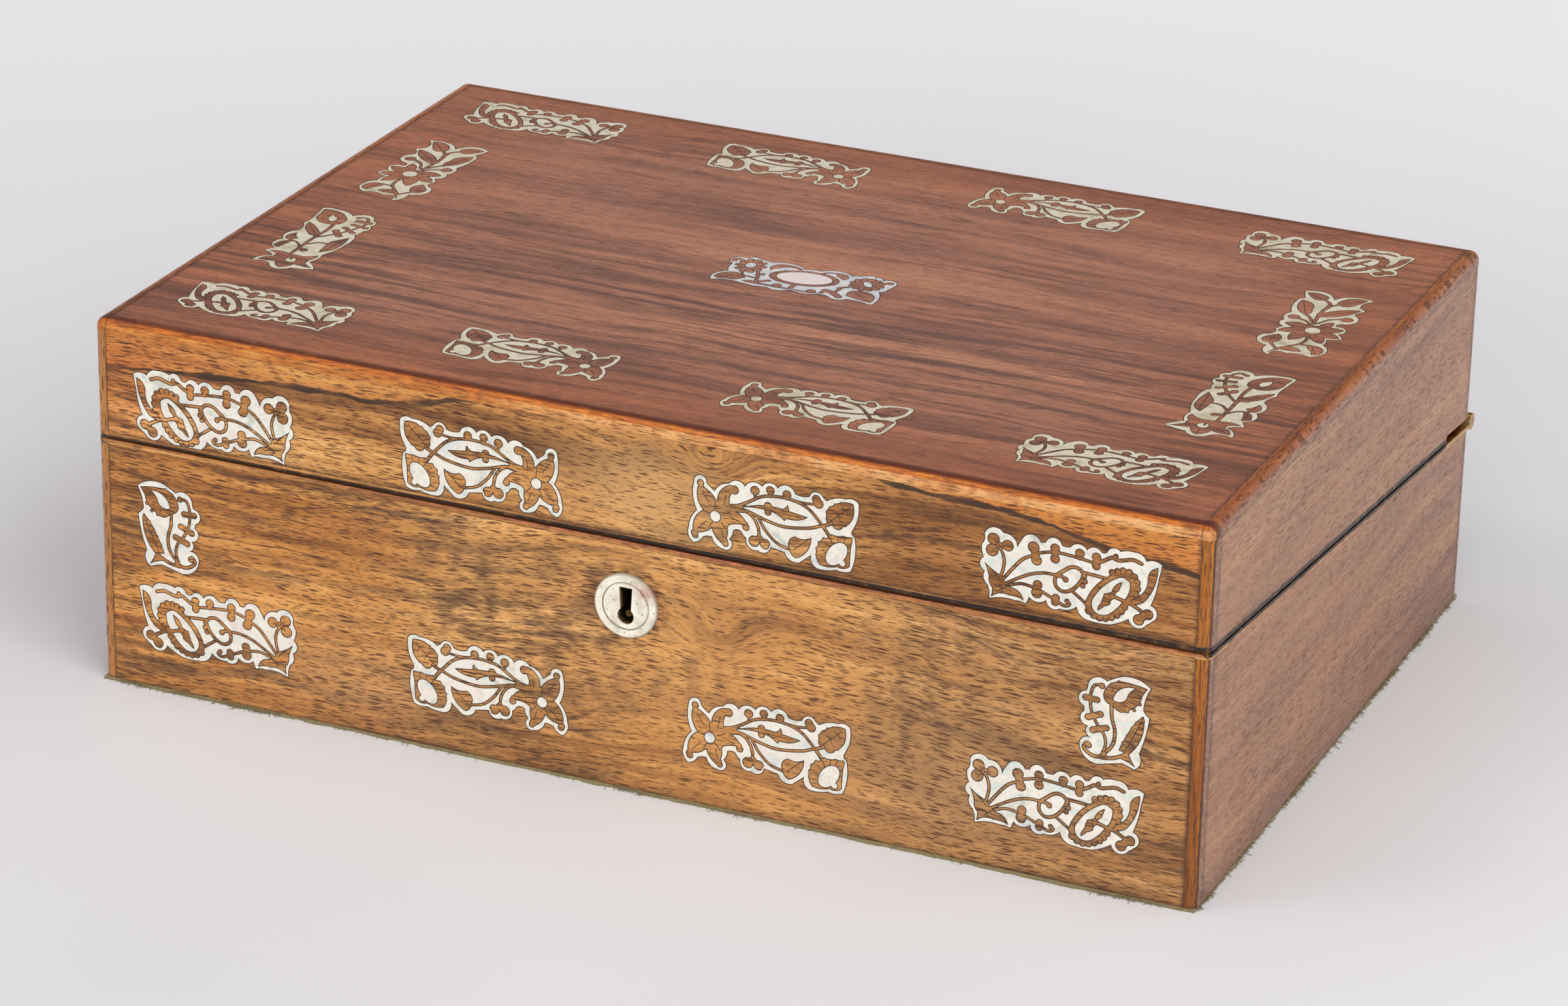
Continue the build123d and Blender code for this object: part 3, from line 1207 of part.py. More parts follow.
with BuildPart() as lid_back_rail:
    block(-in_w, in_w, rail_y, in_d, floor_z, roof_z)
    above_joint(flap_n)
    below_joint(flap_n + rail_h)
    add(lid_rail_beds.part, mode=Mode.SUBTRACT)
save(lid_back_rail, "lid_flap_rail")

# Turn button and its pivot
button_top_n = flap_n - button_lift
button_low_n = button_top_n - button_t
with BuildPart() as button:
    with BuildSketch(slope_plane.offset(button_low_n)):
        with Locations((button_l / 2 - button_w / 2, button_u)):
            SlotOverall(button_l, button_w)
        with Locations((0, button_u)):
            Circle(button_pin_r + pin_clear, mode=Mode.SUBTRACT)
    extrude(amount=button_t)
save(button, "flap_catch")

with BuildPart(slope_plane) as button_pivot:
    head_top_n = button_low_n - pin_clear
    with Locations((0, button_u, (head_top_n + flap_n + button_pin_l) / 2)):
        Cylinder(button_pin_r, flap_n + button_pin_l - head_top_n)
    with Locations((0, button_u, head_top_n - button_head_t / 2)):
        Cylinder(button_head_r, button_head_t)
save(button_pivot, "flap_catch_pivot")

# Link plate on the lid, with the two links that the bolt passes through
with BuildPart(slope_plane) as links:
    for x in link_xs:
        half_t = link_t / 2
        half_l = link_w / 2
        block(x - half_t, x + half_t, link_u - half_l, link_u + half_l, -rim_n - link_drop, facing_n)
        eye = link_eye_w / 2
        block(
            x - link_t, x + link_t, link_u - eye, link_u + eye, eye_mid_n - link_eye_h / 2,
            eye_mid_n + link_eye_h / 2, mode=Mode.SUBTRACT,
        )
with BuildPart() as link_plate:
    add(link_plate_blank.part)
    add(links.part)
    add(lid_screw_holes.part, mode=Mode.SUBTRACT)
save(link_plate, "link_plate")
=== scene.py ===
"""Looks of a Victorian writing box: figured rosewood veneer, pierced pearl plates, brass, leather and baize."""

from math import atan2, cos, hypot, pi, radians, sin, tan

import bmesh
import bpy
import numpy as np
from mathutils import Matrix, Vector


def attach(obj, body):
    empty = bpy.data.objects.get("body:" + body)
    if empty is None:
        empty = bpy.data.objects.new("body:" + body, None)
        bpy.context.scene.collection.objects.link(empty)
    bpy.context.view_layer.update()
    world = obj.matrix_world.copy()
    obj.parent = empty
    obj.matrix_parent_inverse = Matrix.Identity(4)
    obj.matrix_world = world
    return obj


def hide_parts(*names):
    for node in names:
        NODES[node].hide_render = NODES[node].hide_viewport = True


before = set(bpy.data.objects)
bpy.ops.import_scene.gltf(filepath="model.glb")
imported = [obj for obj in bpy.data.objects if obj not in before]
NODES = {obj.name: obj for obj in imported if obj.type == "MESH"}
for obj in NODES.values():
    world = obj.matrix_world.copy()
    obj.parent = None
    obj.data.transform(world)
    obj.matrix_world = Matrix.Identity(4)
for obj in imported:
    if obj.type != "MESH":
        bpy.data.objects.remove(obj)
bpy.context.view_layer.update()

MM = 0.001

# The box in mm: x runs to its right, y to its back and z up; its middle stands on the origin.
X, Y, Z = range(3)
HALF_W, HALF_D, TALL = 175.0, 120.0, 117.0
STRIP_X, STRIP_Y = 171.0, 116.0  # where the veneers end and the corner strips and the top's edging begin
LID_LOW, LID_HIGH = 81.31, 113.0  # the lid front's veneer
BASE_LOW, BASE_HIGH = 1.0, 77.39  # the base front's veneer
CORNER_X, CORNER_Y = 174.0, -118.5  # about where the rounded corners turn from the front into the sides
KEYHOLE_X, KEYHOLE_Z, KEYHOLE_R = -1.0, 59.2, 9.95  # the escutcheon's middle and radius
CENTRE_PLATE = (-0.8, 2.1)  # middle of the pearl plate in the middle of the top
SLOPE = radians(4.8456)  # how far the seam between base and lid leans
RIM_FOOT, RIM_HEAD = 67.2, 71.25  # the two rim facings' outer edges, where the seam crosses the box's middle

MASTIC_W = 0.3  # width of the dark filling round each pearl edge, mm
SHAVE = 0.06  # how much each pearl edge stands back from the drawn line, mm
RIM = 0.52  # the pearl runs at least this wide along a plate's outline, mm
GRID = 0.12  # spacing of the grid the pearl figures are cut on, mm


# ---------------------------------------------------------------- camera and lamps
def link(name, data=None):
    """An object that the scene shows."""
    o = bpy.data.objects.new(name, data)
    bpy.context.scene.collection.objects.link(o)
    return o


def towards(turn, lift):
    """Unit vector from the box; turn counts in degrees from its front towards its right, lift from the floor."""
    t, e = radians(turn), radians(lift)
    return Vector((sin(t) * cos(e), -cos(t) * cos(e), sin(e)))


def add_camera():
    """The photograph's camera, fitted to the corners of the box in it."""
    turn, lift, roll = 23.463, 23.265, radians(1.18)
    back = towards(turn, lift)
    right = Vector((cos(radians(turn)), sin(radians(turn)), 0))
    up = back.cross(right)
    cols = (cos(roll) * right + sin(roll) * up, cos(roll) * up - sin(roll) * right, back)
    m = Matrix([[c[i] for c in cols] for i in range(3)]).to_4x4()
    m.translation = Vector((9.9, -33.7, 59.8)) * MM + back * 1.655161
    data = bpy.data.cameras.new("camera")
    data.lens, data.sensor_width, data.sensor_fit = 127.25, 36.0, "HORIZONTAL"
    cam = link("camera", data)
    cam.matrix_world = m
    bpy.context.scene.camera = cam


def add_softbox(name, turn, lift, distance, size, power, colour):
    """An area lamp that looks at the box."""
    away = towards(turn, lift)
    data = bpy.data.lights.new(name, "AREA")
    data.shape, data.size, data.size_y = "RECTANGLE", size[0], size[1]
    data.energy, data.color = power, colour
    lamp = link(name, data)
    lamp.location = away * distance + Vector((0, 0, 0.06))
    lamp.rotation_euler = away.to_track_quat("Z", "Y").to_euler()


add_camera()
bpy.context.scene.view_settings.view_transform = "Standard"


# ---------------------------------------------------------------- node helpers
def paint(colour):
    """Turns an (r, g, b) of 8-bit sRGB into the shader's colour, and leaves anything else as it is."""
    if not isinstance(colour, tuple) or len(colour) != 3:
        return colour
    return (*(c / 255 / 12.92 if c <= 10 else ((c / 255 + 0.055) / 1.055) ** 2.4 for c in colour), 1.0)


class Value:
    """What a node gives out. Sums written with it become Math nodes."""

    def __init__(self, tree, socket):
        self.tree, self.socket = tree, socket

    def __add__(self, other):
        return self.tree.op("ADD", self, other)

    def __sub__(self, other):
        return self.tree.op("SUBTRACT", self, other)

    def __rsub__(self, other):
        return self.tree.op("SUBTRACT", other, self)

    def __mul__(self, other):
        return self.tree.op("MULTIPLY", self, other)

    def __pow__(self, other):
        return self.tree.op("POWER", self, other)

    def __abs__(self):
        return self.tree.op("ABSOLUTE", self)


class Tree:
    """A node tree under construction."""

    def __init__(self, tree):
        self.tree = tree
        tree.nodes.clear()

    def put(self, socket, value):
        if isinstance(value, Value):
            self.tree.links.new(value.socket, socket)
        elif value is not None:
            socket.default_value = value

    def node(self, kind, *ins, out=0, **props):
        """Adds a node, and returns one of its outputs."""
        n = self.tree.nodes.new("ShaderNode" + kind)
        for key, value in props.items():
            setattr(n, key, value)
        for key, value in ins:
            self.put(n.inputs[key], value)
        return n if out is None else Value(self, n.outputs[out])

    def split(self, kind, value):
        """The three parts of a vector or a colour."""
        n = self.node("Separate" + kind, (0, value), out=None)
        return [Value(self, s) for s in n.outputs[:3]]

    def op(self, what, *values):
        return self.node("Math", *enumerate(values), operation=what)

    def vec(self, x, y, z):
        return self.node("CombineXYZ", (0, x), (1, y), (2, z))

    def noise(self, x, y, z, detail=2.0, rough=0.5, twist=0.0):
        return self.node("TexNoise", ("Vector", self.vec(x, y, z)), ("Scale", 1.0), ("Detail", detail),
                         ("Roughness", rough), ("Distortion", twist))

    def cells(self, at, scale=1.0, **props):
        """Distance to the nearest of many scattered points, and that point's own random colour."""
        n = self.node("TexVoronoi", ("Vector", at), ("Scale", scale), out=None, **props)
        return Value(self, n.outputs["Distance"]), Value(self, n.outputs["Color"])

    def step(self, value, lo, hi, out_lo=0.0, out_hi=1.0):
        """A smooth step between two values."""
        return self.node("MapRange", (0, value), (1, lo), (2, hi), (3, out_lo), (4, out_hi),
                         interpolation_type="SMOOTHSTEP")

    def mix(self, share, a, b, kind="MIX"):
        return self.node("Mix", (0, share), (6, paint(a)), (7, paint(b)), out=2, data_type="RGBA", blend_type=kind,
                         clamp_factor=True)

    def ramp(self, value, *stops):
        n = self.node("ValToRGB", (0, value), out=None)
        marks = n.color_ramp.elements
        for i, (at, colour) in enumerate(stops):
            mark = marks[i] if i < 2 else marks.new(at)
            mark.position, mark.color = at, paint(colour)
        return Value(self, n.outputs[0])

    def bands(self, value, tones):
        """A ramp through evenly spread colours."""
        return self.ramp(value, *[((i + 0.5) / len(tones), t) for i, t in enumerate(tones)])

    def curve(self, value, *points):
        n = self.node("FloatCurve", ("Value", value), out=None)
        knots = n.mapping.curves[0].points
        knots[0].location, knots[1].location = points[0], points[-1]
        for at, high in points[1:-1]:
            knots.new(at, high)
        n.mapping.update()
        return Value(self, n.outputs[0])

    def bump(self, height, depth, strength=1.0, under=None):
        """Normal of a relief whose height from 0 to 1 stands for depth millimetres."""
        return self.node("Bump", ("Height", height), ("Distance", depth * MM), ("Strength", strength),
                         ("Normal", under))


class Look(Tree):
    """A material. Every length in it is in millimetres."""

    def __init__(self, name):
        self.mat = bpy.data.materials.new(name)
        self.mat.use_nodes = True
        super().__init__(self.mat.node_tree)

    def place(self):
        """x, y and z of the surface in millimetres, in the box's own frame."""
        here = self.node("TexCoord", out="Object")
        return self.split("XYZ", self.node("VectorMath", (0, here), ("Scale", 1000.0), operation="SCALE"))

    def finish(self, colour, rough, normal=None, **more):
        """The material, with the shader's other sockets named in more, _ for a space."""
        others = [(key.replace("_", " "), value) for key, value in more.items()]
        shader = self.node("BsdfPrincipled", ("Base Color", colour), ("Roughness", rough), ("Normal", normal), *others)
        self.node("OutputMaterial", (0, shader), out=None)
        return self.mat


def scaled(p, by, plus=0.0):
    """The three coordinates times one number, plus another."""
    return [c * by + plus if plus else c * by for c in p]


# ---------------------------------------------------------------- wood
def wood(name, axes, tones, veins, pores, over=None, bend=None, warp=7.0, seed=0.0, smoke=None, gloss=0.3,
         contrast=1.0, coat=0.0):
    """Figured wood. axes says which of x, y, z runs along the grain, across it and into the surface; tones go from
    dark to light; veins, pores and smoke are each a strength and a colour; bend adds to the grain's course, and over
    paints on the result."""
    k = Look(name)
    p = k.place()
    u, v, w = (p[i] if isinstance(i, int) else i(k, p) for i in axes)
    slow = k.noise(u * 0.010 + seed, v * 0.024, w * 0.02)
    quick = k.noise(u * 0.05 + seed * 3, v * 0.12, w * 0.09, detail=4, rough=0.62)
    h = v + (slow * (2 * warp) - warp) + (quick * 3.2 - 1.6)
    if bend:
        h = h + bend(k, u, v)

    wide = k.noise(u * 0.0045 + seed, h * 0.06, w * 0.04, detail=3, rough=0.6)
    mid = k.noise(u * 0.012 + (seed + 1), h * 0.34, w * 0.1, detail=4, rough=0.66)
    fine = k.noise(u * 0.045 + (seed + 2), h * 1.35, w * 0.7, detail=4, rough=0.76)
    tone = wide * 0.44 + mid * 0.33 + fine * 0.23
    colour = k.bands(tone * (3.4 * contrast) + (0.5 - 1.7 * contrast), tones)
    if smoke:
        patch = k.step(k.noise(u * 0.011 + (seed + 4), v * 0.026, 2.0, detail=3), 0.42, 0.6, 0.12)
        run = k.step(k.noise(u * 0.02 + (seed + 6), h * 0.24, w * 0.1, detail=5, rough=0.66), 0.46, 0.62)
        colour = k.mix(patch * run * smoke[0], colour, smoke[1])

    course = k.noise(u * 0.0055 + (seed + 9), h * 0.05, 0.0)
    line = k.step(abs(k.op("FRACT", course * 8.0) - 0.5), 0.0, 0.09, 1.0, 0.0)
    where = k.step(k.noise(u * 0.013 + (seed + 2), v * 0.035, 3.0, detail=3), 0.44, 0.6)
    broken = k.step(k.noise(u * 0.09, h * 0.9, 0.0, detail=3), 0.3, 0.62, 0.2)
    colour = k.mix(line * where * broken * veins[0], colour, veins[1])

    often = k.step(k.noise(u * 0.012 + (seed + 7), v * 0.03, 1.0), 0.34, 0.58, 0.72)
    across = v * 0.55 + h * 0.45
    dark = 0.0
    for i, (length, width, depth) in enumerate(((10.0, 0.95, 1.0), (7.5, 0.82, 0.9), (5.0, 0.66, 0.7))):
        at = k.vec(u * (1 / length) + (seed + 5.3 * i), across * (1 / width) + 2.7 * i, 0.0)
        near, hue = k.cells(at, voronoi_dimensions="2D")
        size = (k.split("Color", hue)[i] * 0.28 + 0.05) * often
        dark = k.op("MAXIMUM", dark, k.step(near, size * 0.6, size, 1.0, 0.0) * depth)
    if over:
        colour = over(k, p, h, colour)
    colour = k.mix(dark * pores[0], colour, pores[1])

    smear = k.noise(*scaled(p, 0.05), detail=4, rough=0.6)
    rough = smear * 0.16 + (gloss - 0.08) + dark * 0.25
    swell = k.bump(k.noise(*scaled(p, 0.09)), 0.10, 0.6)
    relief = k.bump(fine * 0.5 - dark * 0.8, 0.035, 0.7, swell)
    return k.finish(colour, rough, relief, Coat_Weight=coat, Coat_Roughness=0.12, Specular_IOR_Level=0.4)


def near_line(k, value, at, width):
    """1 on a line, falling to 0 at width on both sides."""
    return k.step(abs(value - at), 0.0, width, 1.0, 0.0)


def hill(k, u, v, at, size, high):
    """A round rise, high in its middle. Added to the grain's course, a high one closes the grain into an eye."""
    d = ((u - at[0]) * (1 / size[0])) ** 2.0 + ((v - at[1]) * (1 / size[1])) ** 2.0
    return k.op("EXPONENT", d * -1.0) * high


def grime(k, p, colour, lines, strength=0.75):
    """Dirt in the seams: each line is (axis, value, width)."""
    ragged = k.noise(*scaled(p, 0.35), detail=4, rough=0.65)
    for axis, at, width in lines:
        share = near_line(k, p[axis], at, width) * k.step(ragged, 0.25, 0.7, 0.35)
        colour = k.mix(share * strength, colour, (38, 24, 14))
    return colour


def lid_front_over(k, p, h, colour):
    """Pale sapwood above a black line, and dirt along the edges."""
    x, _, z = p
    light = hill(k, x, z, (5.0, 94.0), (26.0, 15.0), 0.6)
    colour = k.mix(light, colour, (236, 184, 118))
    colour = k.mix(k.step(x, 55.0, 88.0, 0.0, 0.7), colour, (188, 168, 154), "MULTIPLY")

    # the sapwood's lower edge, as a share of 25 mm above z = 95, along the front from 0 at the left to 1
    edge = k.curve(x * (1 / 350) + 0.5, (0, 0.28), (0.1, 0.4), (0.2, 0.485), (0.26, 0.49), (0.311, 0.6), (0.363, 0.76),
                   (0.42, 0.87), (0.5, 0.93), (0.62, 0.92), (0.69, 0.82), (0.729, 0.7), (0.78, 0.64), (0.831, 0.62),
                   (0.883, 0.5), (0.934, 0.38), (1, 0.27))
    wobble = k.noise(x * 0.09, z * 0.05, 0.0, detail=3, rough=0.6)
    above = z - (edge * 25.0 + 95.0 + (wobble * 2.6 - 1.3))
    streak = k.noise(x * 0.018, h * 0.7, 2.0, detail=4, rough=0.65)
    sap = k.ramp(streak, (0.25, (158, 98, 44)), (0.5, (208, 142, 72)), (0.75, (232, 174, 96)))
    warmer = k.step(k.noise(x * 0.02, z * 0.1, 5.0), 0.45, 0.7, 0.0, 0.5)
    sap = k.mix(warmer, sap, (196, 118, 60))
    sap = k.mix(k.step(x, 60.0, 140.0, 0.0, 0.7), sap, (252, 232, 190), "MULTIPLY")
    colour = k.mix(k.step(above, -0.4, 0.9) * 0.92, colour, sap)

    thick = k.step(k.noise(x * 0.035, 0.0, 0.0, detail=3), 0.35, 0.68, 0.45, 1.9)
    black = k.step(abs(above), thick * 0.45, thick, 1.0, 0.0)
    fade = k.step(k.noise(x * 0.05, 0.0, 4.0), 0.36, 0.55, 0.55)
    colour = k.mix(black * fade * 0.93, colour, (46, 33, 24))
    below = k.step(abs(above + 3.2), 0.2, 1.1, 0.55, 0.0)
    colour = k.mix(below * k.step(wobble, 0.42, 0.66), colour, (84, 58, 40))
    colour = k.mix(k.step(x, -110.0, -HALF_W) * 0.45, colour, (226, 150, 92), "MULTIPLY")
    return grime(k, p, colour, [(Z, LID_LOW, 1.6), (X, -STRIP_X - 0.2, 0.8), (X, STRIP_X + 0.2, 1.6)])


def base_front_over(k, p, h, colour):
    """Smoky ripples left of the keyhole and far right, burnt streaks, a stain round the keyhole and a darker foot."""
    x, _, z = p
    left = k.step(x, -95.0, -45.0) * k.step(x, 44.0, 12.0)
    right = k.step(x, 52.0, 78.0) * k.step(x, 136.0, 112.0, 0.0, 0.7)
    field = k.op("MAXIMUM", left, right) * (k.step(z, 16.0, 36.0) * k.step(z, 77.0, 64.0))
    bend = k.noise(x * 0.022, z * 0.035, 1.0)
    ragged = k.noise(x * 0.12, h * 0.85, 0.0, detail=3, rough=0.6)
    phase = k.op("FRACT", x * 0.085 + (bend * 3.4 + ragged * 1.1))
    bars = k.step(phase, 0.0, 0.2) * k.step(phase, 0.75, 0.3)
    bars = bars * k.step(k.noise(x * 0.04, z * 0.06, 3.0), 0.36, 0.56)
    colour = k.mix(field * 0.35, colour, (232, 174, 104))
    colour = k.mix(k.step(x, -50.0, -90.0, 0.0, 0.8), colour, (244, 228, 200), "MULTIPLY")
    colour = k.mix(bars * field * 0.62, colour, (108, 80, 54))

    cloud = k.noise(x * 0.016, z * 0.05, 7.0, detail=3, rough=0.6)
    ash = k.noise(x * 0.03, h * 0.3, 8.0, detail=5, rough=0.68)
    burnt = k.step(cloud, 0.44, 0.6) * k.step(ash, 0.44, 0.58) * k.step(x, 30.0, -30.0, 0.16, 0.75)
    colour = k.mix(burnt, colour, (88, 62, 42))
    duller = k.step(x, 58.0, 96.0) * k.step(cloud, 0.36, 0.6, 0.5)
    colour = k.mix(duller, colour, (212, 210, 222), "MULTIPLY")
    pale = k.step(x, -20.0, 20.0) * k.step(x, 90.0, 45.0)
    colour = k.mix(pale * 0.2, colour, (228, 164, 92))
    colour = k.mix(hill(k, x, z, (104.0, 20.0), (46.0, 20.0), 0.5), colour, (206, 158, 104))
    colour = k.mix(hill(k, x, z, (-86.0, 18.0), (34.0, 15.0), 0.45), colour, (216, 164, 106))

    foot = k.step(z, 9.0, 1.0) * k.step(k.noise(x * 0.03, 0.0, 1.0, detail=3), 0.35, 0.7, 0.25, 0.9)
    colour = k.mix(foot * 0.45, colour, (92, 58, 34))
    r = k.op("SQRT", (x - KEYHOLE_X) ** 2.0 + (z - KEYHOLE_Z) ** 2.0)
    spots = k.step(k.noise(x * 0.3, z * 0.3, 0.0, detail=3), 0.4, 0.66)
    colour = k.mix(k.step(r, 10.0, 14.5, 1.0, 0.0) * spots * 0.75, colour, (96, 44, 22))
    return grime(k, p, colour, [(Z, BASE_LOW, 1.2), (X, -STRIP_X - 0.2, 0.8), (X, STRIP_X + 0.2, 1.6)])


def top_over(k, p, h, colour):
    """Long dark streaks towards the front, a browner rim round a paler middle that is partly a painted reflection, and
    dirt along the edges.
    """
    x, y, _ = p
    run = k.noise(x * 0.011, h * 0.22, 6.0, detail=5, rough=0.66)
    near = k.step(y, -108.0, -78.0) * k.step(y, 22.0, -28.0)
    colour = k.mix(k.step(run, 0.46, 0.6) * near * 0.72, colour, (84, 60, 56))
    # Browner towards the rim, leaving the middle paler: partly the wood's own colour, partly a painted reflection of
    # the lamps on the polished middle.
    rim = k.op("MAXIMUM", abs(x * (1 / STRIP_X)), abs(y * (1 / STRIP_Y)))
    colour = k.mix(k.step(rim, 0.55, 1.0, 0.0, 0.9), colour, (240, 216, 190), "MULTIPLY")
    dull = k.step(k.noise(x * 0.008, y * 0.02, 2.0), 0.4, 0.7)
    colour = k.mix(dull * 0.2, colour, (130, 80, 62))
    return grime(k, p, colour, [(Y, -STRIP_Y, 1.8), (Y, STRIP_Y, 1.5), (X, -STRIP_X, 1.5), (X, STRIP_X, 1.5)], 0.6)


def side_over(k, p, h, colour):
    """A hair crack high on the lid's side, and dirt along the seams and the strips."""
    _, y, z = p
    course = k.noise(y * 0.03, 0.0, 0.0, detail=4) * 3.0 + 105.0
    crack = k.step(abs(z - course), 0.05, 0.32, 1.0, 0.0)
    gaps = k.step(k.noise(y * 0.11, 0.0, 3.0, detail=3), 0.42, 0.6, 0.15)
    colour = k.mix(crack * gaps * k.step(y, -42.0, -20.0) * 0.8, colour, (52, 30, 22))
    colour = k.mix(k.step(z, 12.0, 1.0) * 0.35, colour, (96, 70, 60))
    return grime(k, p, colour, [(Y, -STRIP_Y + 0.4, 2.6), (Y, STRIP_Y, 2.0), (Z, LID_HIGH, 1.0), (Z, BASE_LOW, 0.8)])


def back_over(k, p, h, colour):
    """Dirt along the edges."""
    return grime(k, p, colour, [(X, -STRIP_X, 2.0), (X, STRIP_X, 2.0), (Z, BASE_LOW, 1.5), (Z, LID_HIGH, 1.5)])


def side_specks(k, p):
    """The redder, speckled look of the strips' and the edging's outer side faces."""
    speck = k.noise(p[0] * 0.5, p[1] * 0.3, p[2] * 1.4, detail=4, rough=0.7)
    return k.ramp(speck, (0.3, (112, 72, 56)), (0.7, (176, 124, 92)))


def strip_over(k, p, h, colour):
    """Knocks and dirt on the corner strips, which are golden in front and match the sides beyond a dark joint."""
    x, y, _ = p
    worn = k.noise(*scaled(p, 0.12), detail=5, rough=0.7)
    colour = k.mix(k.step(worn, 0.58, 0.72, 0.0, 0.7), colour, (66, 38, 20))
    colour = k.mix(k.step(x, 0.0, -1.0, 0.0, 0.5), colour, (190, 136, 78))
    side = k.step(y, CORNER_Y - 0.2, CORNER_Y + 0.2) * k.step(abs(x), CORNER_X + 0.2, CORNER_X + 0.6)
    colour = k.mix(side, colour, side_specks(k, p))
    joint = near_line(k, y, CORNER_Y, 0.55) * k.step(abs(x), CORNER_X - 0.6, CORNER_X)
    colour = k.mix(joint * k.step(worn, 0.32, 0.5, 0.4, 0.95), colour, (40, 24, 16))
    return grime(k, p, colour, [(X, -STRIP_X, 0.5), (X, STRIP_X, 1.1), (Y, -STRIP_Y, 0.5), (Y, STRIP_Y, 0.9),
                                (Z, BASE_LOW, 1.5)])


def edging_over(k, p, h, colour):
    """Golden over its rounded front edge, with a pale band below it, bare wood towards the left and a painted
    highlight from the middle rightwards, and a dark red line where it meets the top.
    """
    x, y, z = p
    worn = k.noise(*scaled(p, 0.1), detail=5, rough=0.7)
    colour = k.mix(k.step(worn, 0.57, 0.75, 0.0, 0.6), colour, (70, 36, 20))
    side = k.step(abs(x), CORNER_X - 0.4, CORNER_X + 0.4) * k.step(y, CORNER_Y + 0.5, CORNER_Y + 1.5)
    colour = k.mix(side * k.step(z, TALL - 1.4, TALL - 2.0), colour, side_specks(k, p))
    grain = k.noise(x * 0.06, y * 1.2, z * 1.2, detail=4, rough=0.7)
    gold = k.ramp(grain, (0.32, (148, 68, 8)), (0.5, (200, 104, 12)), (0.68, (224, 134, 26)))
    gold = k.mix(k.step(worn, 0.48, 0.64, 0.0, 0.55), gold, (128, 66, 30))
    # A band just below the arris: bare wood on the left, and from the middle to the right the painted highlight (242,
    # 190, 126) of the lamps on the rounded edge.
    bare_and_highlight = k.step(z, TALL - 1.1, TALL - 1.8) * 0.75 * k.step(worn, 0.62, 0.4, 0.4)
    bare = k.ramp(grain, (0.35, (176, 108, 46)), (0.65, (216, 152, 80)))
    gold = k.mix(bare_and_highlight, gold, k.mix(k.step(x, -60.0, 0.0), bare, (242, 190, 126)))
    colour = k.mix(k.step(y, CORNER_Y + 0.9, CORNER_Y - 0.1) * 0.9, colour, gold)
    red = k.step(y, CORNER_Y - 0.4, CORNER_Y + 0.5) * k.step(y, -STRIP_Y + 2.0, -STRIP_Y - 0.2)
    colour = k.mix(red * k.step(worn, 0.3, 0.5, 0.6, 0.9), colour, (92, 38, 20))
    return grime(k, p, colour, [(X, STRIP_X, 0.5), (X, -STRIP_X, 0.5)])


def facing_over(k, p, h, colour):
    """Along the front the base's rim has a thin coppery painted highlight on its top edge; painted shade blackens both
    rims outside, where they meet.
    """
    x, y, z = p
    level = z + y * tan(SLOPE)  # the height that the seam would have in the box's middle
    ragged = k.noise(*scaled(p, 0.22), detail=4, rough=0.65)
    middle = k.step(abs(x), CORNER_X, CORNER_X - 1.0)
    front = middle * k.step(y, CORNER_Y + 0.3, CORNER_Y - 0.9)
    # A painted highlight: a thin coppery line along the top edge of the base's rim at the front, stronger towards the
    # right.
    copper_highlight = k.ramp(ragged, (0.3, (118, 58, 34)), (0.7, (206, 128, 86)))
    line = k.step(level, RIM_FOOT + 0.7, RIM_FOOT + 1.0) * k.step(level, RIM_FOOT + 1.75, RIM_FOOT + 1.6)
    colour = k.mix(line * (front * k.step(x, -150.0, 0.0, 0.35, 0.85)), colour, copper_highlight)
    outside = k.op("MAXIMUM", k.step(abs(x), CORNER_X - 0.6, CORNER_X + 0.6),
                   k.step(abs(y), -CORNER_Y - 0.1, -CORNER_Y + 1.1))
    low = middle * 1.05 + (RIM_FOOT + 0.5)
    # Painted shade: both rims are blackened outside, next to the gap between them, so that the gap looks wider.
    gap_shade = k.step(level - low, 0.0, 0.2) * k.step(level - x * 0.0026, RIM_HEAD - 0.35, RIM_HEAD - 0.95) * outside
    colour = k.mix(gap_shade * k.step(ragged, 0.3, 0.5, 0.75), colour, (24, 12, 8))
    joint = k.op("MAXIMUM", near_line(k, level, RIM_HEAD, 0.4), near_line(k, level, RIM_FOOT, 0.3))
    return k.mix(joint * k.step(ragged, 0.3, 0.6, 0.3, 0.9), colour, (52, 30, 18))


def keyhole_darkening(k, p, h, colour):
    """The board is darkened almost to black round and behind the keyhole, deeper in."""
    near = hill(k, p[0], p[2], (KEYHOLE_X, 58.0), (9.0, 12.0), 2.2) * k.step(p[1], -106.0, -112.0)
    return k.mix(k.op("MINIMUM", near, 1.0), colour, (34, 22, 14))


def on_side(k, p):
    """1 on the parts of the top's edging and of the rims that run along y."""
    return k.step(abs(p[0]), STRIP_X - 0.1, STRIP_X + 0.1)


def along_rim(k, p):
    """The grain's course on them."""
    side = on_side(k, p)
    return p[0] * (1.0 - side) + p[1] * side


def across_rim(k, p):
    side = on_side(k, p)
    return p[2] + (p[1] * (1.0 - side) + p[0] * side)


def round_corner(k, p):
    """Across the grain of an upright strip, whichever way its face looks."""
    return p[0] + p[1]


